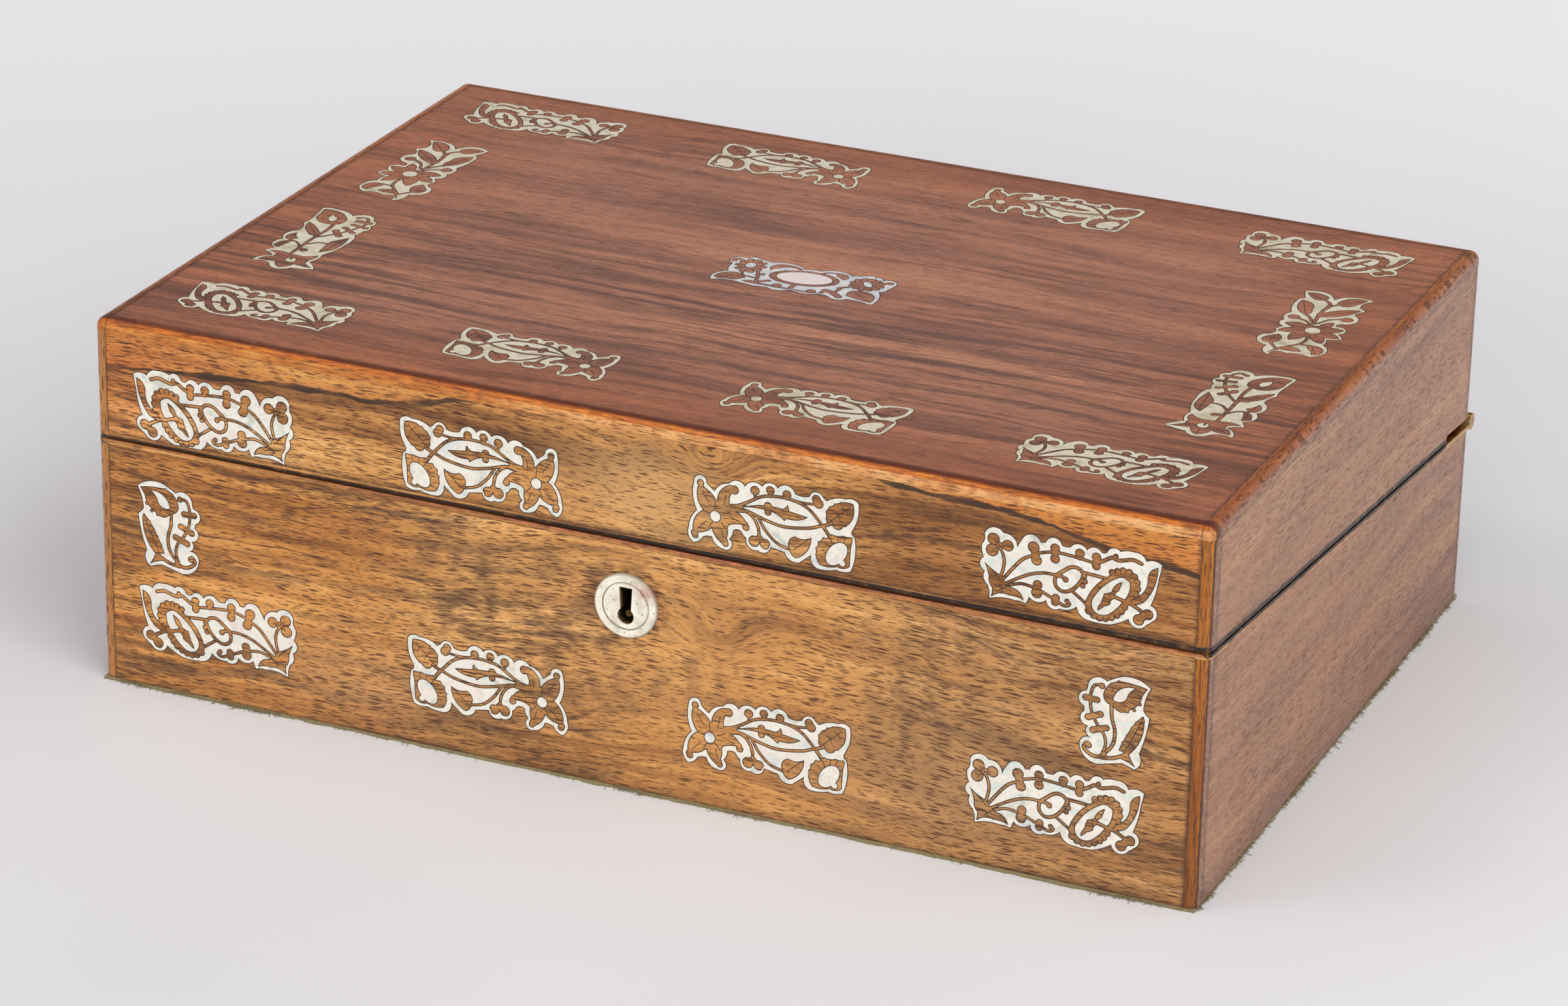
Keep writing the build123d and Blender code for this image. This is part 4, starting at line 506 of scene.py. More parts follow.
FRONT_TONES = [(94, 58, 30), (148, 97, 49), (190, 132, 69), (216, 158, 90), (240, 186, 116)]
FRONT = dict(tones=FRONT_TONES, pores=(0.92, (70, 35, 17)), gloss=0.32)
PINE = dict(tones=[(150, 112, 70), (176, 136, 88), (194, 156, 104), (206, 170, 118), (216, 184, 134)],
            veins=(0.3, (140, 96, 54)), pores=(0.15, (140, 98, 60)), gloss=0.55, contrast=0.7)
MAHOGANY = dict(tones=[(84, 40, 24), (116, 60, 34), (140, 76, 44), (158, 92, 54), (174, 108, 68)], warp=4.0,
                smoke=(0.2, (80, 44, 30)), veins=(0.3, (70, 36, 22)), pores=(0.6, (66, 32, 20)), gloss=0.4,
                contrast=0.8)


def lid_front_bend(k, u, v):
    return hill(k, u, v, (25.0, 109.0), (9.0, 6.5), 9.0) + hill(k, u, v, (10.0, 92.0), (60.0, 24.0), 8.0)


def base_front_bend(k, u, v):
    return hill(k, u, v, (28.0, 55.0), (12.0, 9.0), 10.0) + hill(k, u, v, (20.0, 48.0), (70.0, 40.0), -10.0)


WOODS = {
    "lid_front": wood("rosewood_lid_front", (X, Z, Y), warp=5.0, seed=1.3, smoke=(0.75, (106, 72, 42)),
                      veins=(0.85, (66, 42, 26)), over=lid_front_over, bend=lid_front_bend, **FRONT),
    "base_front": wood("rosewood_base_front", (X, Z, Y), warp=6.0, seed=5.1, smoke=(0.85, (98, 68, 42)),
                       veins=(0.9, (66, 42, 26)), over=base_front_over, bend=base_front_bend, **FRONT),
    "lid_top": wood("rosewood_top", (X, Y, Z), seed=9.7, smoke=(0.5, (84, 54, 46)), veins=(0.5, (70, 44, 38)),
                    pores=(0.48, (78, 48, 40)), over=top_over, contrast=0.58,
                    tones=[(102, 69, 62), (142, 95, 79), (177, 118, 92), (197, 134, 103), (215, 148, 111)]),
    "side": wood("rosewood_side", (Y, Z, X), warp=5.0, seed=14.2, smoke=(0.3, (112, 78, 66)),
                 veins=(0.25, (92, 62, 54)), pores=(0.5, (92, 56, 46)), gloss=0.33, over=side_over, contrast=0.7,
                 tones=[(106, 68, 54), (140, 94, 70), (164, 114, 82), (180, 129, 92), (196, 146, 104)]),
    "back": wood("rosewood_back", (X, Z, Y), warp=6.0, seed=21.4, smoke=(0.5, (92, 64, 46)),
                 veins=(0.6, (66, 42, 28)), pores=(0.75, (66, 38, 24)), gloss=0.36, over=back_over,
                 tones=[(92, 56, 34), (128, 80, 46), (154, 100, 58), (172, 116, 70), (188, 132, 84)]),
    "strip": wood("rosewood_strips", (Z, round_corner, Y), warp=2.0, seed=3.3, smoke=(0.4, (78, 46, 26)),
                  veins=(0.6, (60, 32, 18)), pores=(0.8, (56, 30, 16)), gloss=0.26, coat=0.15, over=strip_over,
                  tones=[(98, 50, 8), (138, 76, 14), (168, 97, 20), (190, 116, 28), (206, 134, 42)]),
    "edging": wood("rosewood_edging", (along_rim, across_rim, Z), warp=2.0, seed=6.1, smoke=(0.3, (84, 50, 34)),
                   veins=(0.5, (64, 36, 22)), pores=(0.7, (64, 36, 22)), gloss=0.32, over=edging_over,
                   tones=[(92, 48, 28), (128, 68, 36), (154, 86, 44), (174, 104, 54), (196, 122, 66)]),
    "facing": wood("rim_facing", (along_rim, across_rim, Z), warp=1.5, seed=8.8, veins=(0.4, (66, 38, 26)),
                   pores=(0.6, (70, 42, 28)), gloss=0.36, over=facing_over, tones=FRONT_TONES),
    "carcass": wood("pine_carcass", (X, Y, Z), warp=6.0, seed=2.2, over=keyhole_darkening, **PINE),
    "carcass_sides": wood("pine_carcass_sides", (Y, Z, X), warp=5.0, seed=12.2, **PINE),
    "inside": wood("mahogany_inside", (X, Y, Z), seed=17.0, **MAHOGANY),
    "inside_across": wood("mahogany_inside_across", (Y, Z, X), seed=19.0, **MAHOGANY),
}


# ---------------------------------------------------------------- pearl, metal, glass, leather, cloth
def pearl(name, tones, seed, over=None, gloss=0.17):
    """Mother-of-pearl: soft clouds of colour, with the fine wavy lines of its layers."""
    k = Look(name)
    p = k.place()
    x, y, z = p
    soft = k.noise(x * 0.075 + seed, (y + z) * 0.09, seed, twist=0.8)
    drift = k.noise(x * 0.21 + (seed + 3), (y + z) * 0.24, seed, detail=3, rough=0.55, twist=1.2)
    colour = k.bands((soft * 0.6 + drift * 0.4) * 2.6 - 0.8, tones)
    layer = k.noise(soft * 26.0 + seed, drift * 3.0, x * 0.05, detail=3, rough=0.6)
    colour = k.mix(k.step(layer, 0.42, 0.66) * 0.15, colour, (255, 250, 244))
    colour = k.mix(k.step(layer, 0.5, 0.3) * 0.175, colour, (150, 146, 136))
    dust = k.noise(*scaled(p, 1.4), detail=4, rough=0.7)
    colour = k.mix(k.step(dust, 0.62, 0.78, 0.0, 0.35), colour, (120, 104, 84))
    if over:
        colour = over(k, p, colour)
    return k.finish(colour, dust * 0.22 + (gloss - 0.06), k.bump(layer, 0.02, 0.5), IOR=1.6, Coat_Weight=0.25,
                    Coat_Roughness=0.08)


def centre_oval_over(k, p, colour):
    """The plate in the middle of the lid is bluish, and pink inside its oval."""
    x, y, _ = p
    plate = hill(k, x, y, CENTRE_PLATE, (34.0, 17.0), 1.0)
    cloud = k.noise(x * 0.2, y * 0.3, 0.0)
    bluish = k.ramp(cloud, (0.35, (200, 206, 212)), (0.65, (234, 228, 226)))
    colour = k.mix(k.step(plate, 0.3, 0.5), colour, bluish)
    u, v = (x - (CENTRE_PLATE[0] - 0.2)) * (1 / 9.4), (y - (CENTRE_PLATE[1] + 1.3)) * (1 / 5.6)
    inside = k.step(u * u + v * v, 1.1, 0.9)  # the oval is a little off the plate's middle
    return k.mix(inside * 0.85, colour, (248, 230, 226))


def mastic():
    """The dark filling round the pearl."""
    k = Look("mastic")
    n = k.noise(*scaled(k.place(), 0.9), detail=4, rough=0.7)
    return k.finish(k.ramp(n, (0.3, (34, 22, 13)), (0.72, (84, 56, 34))), n * 0.3 + 0.35, k.bump(n, 0.03))


def escutcheon_look():
    """Pearl-coloured keyhole disc: turned rings, flecks, painted shade round its bevelled edge, brown inside the hole
    and a red stain beside it.
    """
    k = Look("escutcheon_pearl")
    p = k.place()
    x, y, z = p[0] - KEYHOLE_X, p[1], p[2] - KEYHOLE_Z
    r = k.op("SQRT", x * x + z * z)
    turn = k.op("ARCTAN2", z, x)
    cloud = k.noise(*scaled(p, 0.22), detail=3, rough=0.6)
    colour = k.ramp(cloud, (0.3, (208, 199, 180)), (0.5, (236, 228, 210)), (0.72, (248, 242, 228)))
    turned = k.noise(r * 2.4, turn * 0.6, 0.0, detail=3, rough=0.6)
    colour = k.mix(k.step(turned, 0.45, 0.7, 0.0, 0.2), colour, (164, 156, 138))
    ring = k.step(abs(r - 7.3), 0.05, 0.26, 1.0, 0.0)
    gaps = k.step(k.noise(turn * 1.2, 0.0, 2.0, detail=3), 0.3, 0.5, 0.35)
    colour = k.mix(ring * gaps * 0.8, colour, (84, 70, 54))
    # Painted shade on the bevel round the disc's edge.
    colour = k.mix(k.step(r, 9.2, KEYHOLE_R) * 0.65, colour, (96, 74, 52))
    fleck, hue = k.cells(k.vec(x * 0.55, z * 0.55, 0.0), voronoi_dimensions="2D")
    size = k.split("Color", hue)[0] * 0.2
    colour = k.mix(k.step(fleck, size * 0.4, size, 1.0, 0.0) * 0.75, colour, (84, 66, 48))
    colour = k.mix(hill(k, x, z, (6.4, 5.2), (3.2, 2.2), 1.0) * 0.6, colour, (158, 66, 40))
    deep = k.step(y, -HALF_D - 0.62, -HALF_D - 0.2) * k.step(r, 9.6, 9.0)
    colour = k.mix(deep, colour, k.ramp(cloud, (0.35, (52, 32, 20)), (0.7, (134, 92, 44))))
    return k.finish(colour, turned * 0.2 + 0.16, k.bump(turned, 0.03, 0.6), Coat_Weight=0.3, Coat_Roughness=0.1)


def metal(name, tones, gloss, tarnish, seed, dull=0.55):
    """Brushed along x, clouded and stained."""
    k = Look(name)
    p = k.place()
    cloud = k.noise(*scaled(p, 0.16, seed), detail=5, rough=0.65)
    brush = k.noise(p[0] * 0.25, p[1] * 2.5, p[2] * 2.5, detail=3, rough=0.6)
    colour = k.ramp(cloud * 0.7 + brush * 0.3, *zip((0.3, 0.5, 0.7), tones))
    stain = k.step(cloud, 0.52, 0.72, 0.0, dull)
    pits = k.step(k.noise(*scaled(p, 1.6), detail=3), 0.66, 0.76, 0.0, -0.6)
    bump = k.bump(brush * 0.5 + pits, 0.03, 0.6)
    rough = brush * 0.2 + gloss + stain * 0.3
    return k.finish(k.mix(stain, colour, tarnish), rough, bump, Metallic=1.0 - stain * 0.5)


def glass():
    """Old glass, a little uneven and smeared."""
    k = Look("bottle_glass")
    p = k.place()
    n = k.noise(*scaled(p, 0.12), detail=3)
    smear = k.noise(*scaled(p, 0.4), detail=4, rough=0.7)
    return k.finish(k.ramp(n, (0.3, (214, 232, 226)), (0.7, (240, 248, 245))), k.step(smear, 0.5, 0.8, 0.015, 0.14),
                    k.bump(n, 0.25, 0.5), Transmission_Weight=1.0, IOR=1.5)


def leather(name, tones, seed):
    """Grained leather, dark in its creases and worn paler in places."""
    k = Look(name)
    p = k.place()
    at = k.vec(*p)
    near = k.cells(at, 0.95)[0]
    edge = k.node("TexVoronoi", ("Vector", at), ("Scale", 0.95), out="Distance", feature="DISTANCE_TO_EDGE")
    cloud = k.noise(*scaled(p, 0.02, seed), detail=4, rough=0.6)
    wear = k.noise(p[0] * 0.05 + seed, p[1] * 0.07, 0.0, detail=5, rough=0.68)
    colour = k.ramp(cloud, *[((i + 1) / (len(tones) + 1), t) for i, t in enumerate(tones)])
    colour = k.mix(k.step(edge, 0.0, 0.09, 0.6, 0.0), colour, tuple(int(c * 0.45) for c in tones[0]))
    paler = tuple(min(255, int(c * 1.5) + 12) for c in tones[-1])
    colour = k.mix(k.step(wear, 0.56, 0.74, 0.0, 0.45), colour, paler)
    height = k.step(edge, 0.0, 0.2) - near * 0.4
    rough = wear * 0.3 + 0.3 + k.step(edge, 0.0, 0.1, 0.1, 0.0)
    return k.finish(colour, rough, k.bump(height, 0.12, 0.7), Sheen_Weight=0.1, Sheen_Roughness=0.5)


def gilt():
    """Gold tooling, worn through to the leather in places."""
    k = Look("gilt_tooling")
    rub = k.noise(*scaled(k.place(), 0.35), detail=5, rough=0.7)
    gone = k.step(rub, 0.56, 0.66)
    colour = k.mix(gone, k.ramp(rub, (0.3, (206, 160, 74)), (0.6, (164, 118, 50))), (44, 52, 34))
    return k.finish(colour, gone * 0.3 + 0.3, k.bump(rub, 0.04), Metallic=1.0 - gone)


def baize():
    """Milled wool: matted fibres that run every way, no weave."""
    k = Look("olive_baize")
    p = k.place()
    mat = k.noise(*scaled(p, 1.1), detail=6, rough=0.75, twist=1.4)
    hair = k.noise(*scaled(p, 3.1), detail=3, rough=0.7, twist=2.5)
    worn = k.noise(*scaled(p, 0.045), detail=4, rough=0.6)
    tones = [(84, 72, 34), (124, 107, 52), (154, 136, 70), (176, 158, 94)]
    colour = k.ramp(mat * 0.55 + hair * 0.3 + worn * 0.15, *[(0.3 + 0.4 * i / 3, t) for i, t in enumerate(tones)])
    colour = k.mix(k.step(worn, 0.55, 0.72, 0.0, 0.35), colour, (150, 138, 96))
    return k.finish(colour, hair * 0.15 + 0.8, k.bump(mat + hair, 0.3, 0.9), Sheen_Weight=0.35, Sheen_Roughness=0.6)


PEARL_FRONT = pearl("pearl_front", [(194, 194, 184), (216, 214, 200), (231, 229, 215), (230, 216, 206),
                                    (213, 220, 207), (201, 203, 206)], 3.0)
PEARL_TOP = pearl("pearl_top", [(190, 178, 146), (212, 200, 170), (226, 216, 188), (232, 222, 202), (218, 206, 180),
                                (202, 192, 160)], 8.0, over=centre_oval_over, gloss=0.22)
MASTIC = mastic()
BRASS = metal("aged_brass", [(150, 104, 48), (188, 140, 70), (214, 170, 96)], 0.2, (98, 84, 52), 2.0)
HINGE_BRASS = metal("waxy_hinge_brass", [(160, 112, 58), (200, 152, 88), (222, 180, 118)], 0.18, (120, 118, 88), 7.0,
                    dull=0.7)
LOCK_BRASS = metal("oiled_lock_brass", [(74, 52, 28), (110, 80, 44), (140, 106, 62)], 0.3, (44, 34, 22), 5.0,
                   dull=0.7)
STEEL = metal("old_steel", [(96, 92, 88), (136, 132, 128), (168, 166, 162)], 0.25, (74, 52, 38), 4.0)
LEATHER = leather("green_leather", [(34, 54, 38), (42, 66, 46), (54, 78, 54)], 3.0)
TAB_LEATHER = leather("tab_leather", [(70, 42, 24), (92, 56, 32), (110, 70, 42)], 6.0)
GILT = gilt()
BAIZE = baize()

for look, names in (
        (WOODS["side"], "base_side_veneers lid_side_veneers"),
        (WOODS["back"], "base_back_veneer lid_back_veneer"),
        (WOODS["strip"], "base_corner_strips lid_corner_strips"),
        (WOODS["edging"], "lid_top_edging"),
        (WOODS["facing"], "base_rim_facing lid_rim_facing"),
        (WOODS["carcass"], "base_back_board base_bottom_board base_front_board lid_back_board lid_front_board"
                           " lid_top_board"),
        (WOODS["carcass_sides"], "base_left_board base_right_board lid_left_board lid_right_board"),
        (WOODS["inside"], "base_flap_rail lid_flap_rail lid_front_rail pen_tray well_divider upper_flap_panel"
                          " lower_flap_panel"),
        (WOODS["inside_across"], "base_flap_ledges lid_flap_ledges ink_partitions"),
        (escutcheon_look(), "escutcheon"),
        (HINGE_BRASS, "base_hinge_leaves lid_hinge_leaves"),
        (BRASS, "base_screws lid_screws lock_bolt link_plate flap_catch flap_catch_pivot ink_bottle_collars"
                " ink_cap_left ink_cap_right upper_flap_fixed_leaves upper_flap_moving_leaves"
                " lower_flap_fixed_leaves lower_flap_moving_leaves"),
        (STEEL, "hinge_pins"),
        (LOCK_BRASS, "lock_case lock_drill_pin"),
        (glass(), "ink_bottles")):
    for name in names.split():
        node = NODES[name]
        if not node.material_slots:
            node.data.materials.append(look)
        for slot in node.material_slots:
            slot.material = look


# ---------------------------------------------------------------- pearl figures
# Each figure is drawn in millimetres about its own middle. An arc chain lists corner, middle of arc,
# corner, middle of arc and so on, and closes on its first corner.
def blob(*c):
    """The inside of an arc chain."""
    return "blob", c


def disc(x, y, r):
    return "disc", (x, y, r)


def discs(*c):
    return [disc(*c[i:i + 3]) for i in range(0, len(c), 3)]


def oval(x, y, a, b, turn):
    return "oval", (x, y, a, b, turn)


def stem(w, *c):
    """A band of width w along a smooth line through the points."""
    return "stem", c, w


def stems(w, *lines):
    return [stem(w, *c) for c in lines]


def round_oval(a, b, turn, start, end, n):
    """n offsets from the middle of an ellipse to its edge."""
    c, s = cos(radians(turn)), sin(radians(turn))
    for i in range(n):
        t = radians(start + (end - start) * i / (n - 1))
        px, py = a * cos(t), b * sin(t)
        yield px * c - py * s, px * s + py * c


def scallops(x, y, a, b, turn, r, start, end, n):
    """Discs along part of an ellipse."""
    return [disc(x + dx, y + dy, r) for dx, dy in round_oval(a, b, turn, start, end, n)]


def rays(x, y, a, b, turn, start, end, n, inner, outer):
    """Short saw cuts that point at an ellipse's middle, between two shares of its size."""
    return [stem(0.26, x + dx * inner, y + dy * inner, x + dx * outer, y + dy * outer)
            for dx, dy in round_oval(a, b, turn, start, end, n)]


def ribs(w, lean, reach, *c):
    """A leaf's mid rib through the given points, with short side ribs that reach out on both sides."""
    out = [stem(w, *c)]
    pts = np.array(c, float).reshape(-1, 2)
    for a, b in zip(pts[:-1], pts[1:]):
        d = (b - a) / np.linalg.norm(b - a)
        n = np.array((-d[1], d[0]))
        p = (a + b) / 2
        out += [stem(w * 0.8, *p, *(p + reach * (side * n + lean * d))) for side in (-1, 1)]
    return out


# wood is what the pearl is cut away for, pearl lies within it, inlay is cut away again, cuts are saw cuts, and grow
# widens the whole outline
FIGURES = {}

FIGURES["corner"] = dict(
    size=(56, 27),
    outline=blob(
        -26.4, 8.8, -24.2, 9.6, -21.8, 9, -20.6, 10.6, -18.3, 11.1, -16.2, 11.1, -14.2, 10.5, -12.3, 11.2,
        -10.4, 9.6, -9.6, 9.1, -8.7, 9.2, -7, 10.3, -4.5, 9, -2.1, 10.4, 0.4, 9, 1.7, 8.8, 2.9, 9, 5.2, 10.9,
        7.7, 9, 8.5, 8.8, 9.2, 8.8, 11.9, 10.6, 14.6, 8.7, 15.5, 7.2, 16, 5.9, 17, 8.4, 20.2, 9.4, 23.3, 10.6,
        25.8, 8.2, 25.7, 6.5, 26.5, 5, 26.4, 2.9, 25.8, 1.2, 26.8, -0.1, 25.4, -2.9, 25.7, -5, 24.4, -6.9,
        23.8, -9.1, 23.8, -11, 20.2, -10, 16.1, -10.1, 14.4, -10, 12.9, -10.5, 12.4, -9.4, 12, -8.2, 9.5, -9.3,
        6.9, -8.1, 4.9, -10.5, 2.9, -10, -0.1, -9.7, -2.1, -8.4, -3.3, -10.7, -6.2, -11.8, -9.2, -12, -12, -11.8,
        -15.4, -10.3, -17.4, -9, -19.5, -11.2, -22.7, -9.7, -23.5, -9.2, -24.2, -8.5, -25.6, -6.2, -23.6, -3.8,
        -24.9, 0.3, -25.6, 4.7, -26.1, 6.8),
    wood=[
        blob(-25.3, 7.8, -24.6, 2.4, -21.8, -3, -20, -4.2, -17.6, -4.6, -17.8, -3.6, -19.2, -2.2, -21.6, 0.2,
        -22.4, 3.9, -23.4, 6.7),
        blob(-12.3, 3.6, -16.6, 4.8, -19.2, 2.2, -19.4, -0.6, -18, -3.6, -16.2, -6.4, -14, -8.4, -10.4, -10,
        -6.2, -9.4, -4.6, -7.6, -4.6, -6.4, -6.6, -2, -10.6, 2.2, -11.4, 3),
        blob(20.2, -3.4, 22.9, -2.2, 25.5, -0.3, 24.6, -2.4, 24.1, -4.4, 23.9, -6.2, 23, -7.6, 23, -9.1,
        23.6, -10.8, 21.4, -9.1, 17.9, -9, 15.5, -9, 13.6, -9.7, 14.8, -7.4, 17.6, -6.4, 19.1, -5.2),
        *discs(-12, 3.9, 1, -13.6, 4.5, 1.05, -15.2, 4.9, 1.1, -17, 4.8, 1.1, -18.5, 3.8, 1.1, -19.3, 2.3, 1.1,
        -19.5, 0.5, 1.1, -19.1, -1.3, 1.1, -16, -5.7, 1.1, -15.1, -7.2, 1.1, -13.9, -8.5, 1.1, -12.3, -9.5, 1.1,
        -10.6, -10.1, 1.15, -8.9, -10.3, 1.15, -7.2, -9.9, 1.15, -5.7, -8.9, 1.15, -22.9, -6.6, 1.6,
        -21.4, -7.6, 1.2, -20.3, -8.7, 1.65, -12.9, 8.9, 0.75, -7.3, 7.5, 1.35, -7.3, 4.9, 1.25, -2.4, 7.7, 1.4,
        4.9, 7.8, 1.4, 4.8, 4.7, 1.4, 11.2, 6.9, 1.7, 10.2, 3.2, 1.55, 18.8, 5.9, 1.7, 23.1, 7.1, 1.8,
        23.4, 3.7, 1.85, 21.2, 5.4, 1.2, 1.5, -0.9, 0.9, -3.9, 1, 0.85, -4.2, -0.4, 0.85, -3.6, -1.8, 0.8,
        0.8, -7.3, 0.75, 9.6, -4.1, 1.4, 9.8, -6.6, 1.6),
        *stems(0.95, (-6.4, 5.7, -2, 6.3, 3.5, 6.7, 6.4, 6.4, 9.9, 5.4), (21, 4.6, 20.2, 3.2, 19.7, 1, 20, -1.6,
        20.7, -4), (4.3, -0.1, 8, -0.2, 12, -1.4, 16, -3.6, 19.8, -6), (-0.9, -4.2, -4.8, -6.9), (4.8, -7.4,
        8.9, -5.6), (10.2, -5.2, 14.4, -4.7, 18.4, -6)),
        *stems(1, (11, 4.2, 12.6, 3.8, 14.8, 2.2, 17.4, -1, 19.9, -4.4), (0.7, -7.3, 0, -8, 0.7, -8.7, 2, -8.7,
        4.2, -7.7)),
        stem(1.05, -3.6, 2.2, -7.2, 2, -11.4, 1.6),
        stem(1.1, -3.9, 1.6, -2.6, 2.9, -1, 3.3, 0.6, 2.8, 2.6, 1.2, 4, 0, 4.6, -1.6, 4.2, -3.4, 2.8, -4.5,
        1.2, -4.5, -0.4, -3.7, -2, -2.1, -3.2, -0.2, -3.9, 1.6),
        *stems(1.15, (-20.4, 8.1, -18, 8.8, -15.8, 8.3, -13.6, 7.8, -11.8, 8.3, -10, 7.2, -8.4, 6.3), (4.3, -0.1,
        2.6, -0.2, 1.5, -0.9)),
        stem(1.6, -2.4, 7.4, -2.4, 6.4), stem(2, -7.3, 7.5, -7.3, 4.9), stem(2.1, 4.9, 7.8, 4.8, 4.7),
        stem(2.2, 9.6, -4.1, 9.8, -6.6), *stems(2.3, (11.2, 6.9, 10.2, 3.2), (4.1, -6.9, 4.3, -8.3))],
    pearl=[
        blob(-16.6, 2.3, -15.2, 2.9, -13.6, 2.4, -9.6, -0.8, -7, -4.6, -6.5, -7, -7.6, -8.9, -9.6, -9.4,
        -11.8, -8.5, -14, -6.3, -15.6, -3.9, -17.1, -1.2, -17.4, 1.1, -17.2, 1.9)],
    inlay=[
        blob(-15.1, 1.6, -13.4, 0.5, -12.1, -1.9, -11.2, -2.4, -10, -2.8, -9.5, -4.4, -9.1, -5.9, -8.4, -7,
        -8.2, -8.3, -9.2, -7.6, -10.2, -6.6, -11.2, -6.2, -11.9, -5.6, -12.2, -4.4, -13.6, -3.8, -13.2, -2.8,
        -14.1, -1.4, -14.7, 0.1),
        stem(1.15, -13, -3.2, -15.5, -3.9, -17.5, -4.3, -19.5, -5.2, -21.6, -6.4)],
    cuts=[
        *stems(0.2, (-23.9, -6.5, -21.8, -6.6), (-21.5, -8.9, -19.4, -8.9)),
        *stems(0.22, (-24.6, 3.2, -23.3, 3.4), (-24.2, 1, -22.9, 1.4), (-23.2, -1, -22, -0.4), (-24.9, 5.2,
        -23.7, 5.3), (20.4, -7.2, 19.6, -8.6), (22.6, -2.4, 21.2, -4.2), (-11.2, -2.6, -11.9, -4.2)),
        *stems(0.24, (-12.9, 4.9, -13.1, 3.7), (-14.4, 5.6, -14.5, 4.2), (-16.1, 5.7, -15.9, 4.3), (-17.9, 5,
        -17.2, 3.9), (-19.5, 3.3, -18.4, 2.8), (-20.3, 1.4, -18.9, 1.3), (-20.2, -0.4, -18.8, -0.3), (-19.4, -2.3,
        -18.2, -1.9), (-16.5, -6.9, -15.3, -6), (-15.4, -8.3, -14.4, -7.2), (-13.9, -9.7, -13.2, -8.5),
        (-12, -10.7, -11.6, -9.5), (-10.1, -11.3, -9.9, -10), (-8.3, -11.4, -8.2, -10), (-6.5, -11, -6.7, -9.6)),
        *stems(0.25, (17.2, -7.6, 22.8, -6.4), (20.4, -5, 24.2, -1.4), (21.1, 5.2, 22.8, 6.9), (21.3, 5,
        23.2, 3.9), (21, 5.3, 19.2, 5.8)),
        stem(0.3, 18, -5.8, 20.8, -7.9), stem(0.5, -9.4, 1.6, -6.6, -1.2, -4.9, -4.6, -4.2, -7.4)])
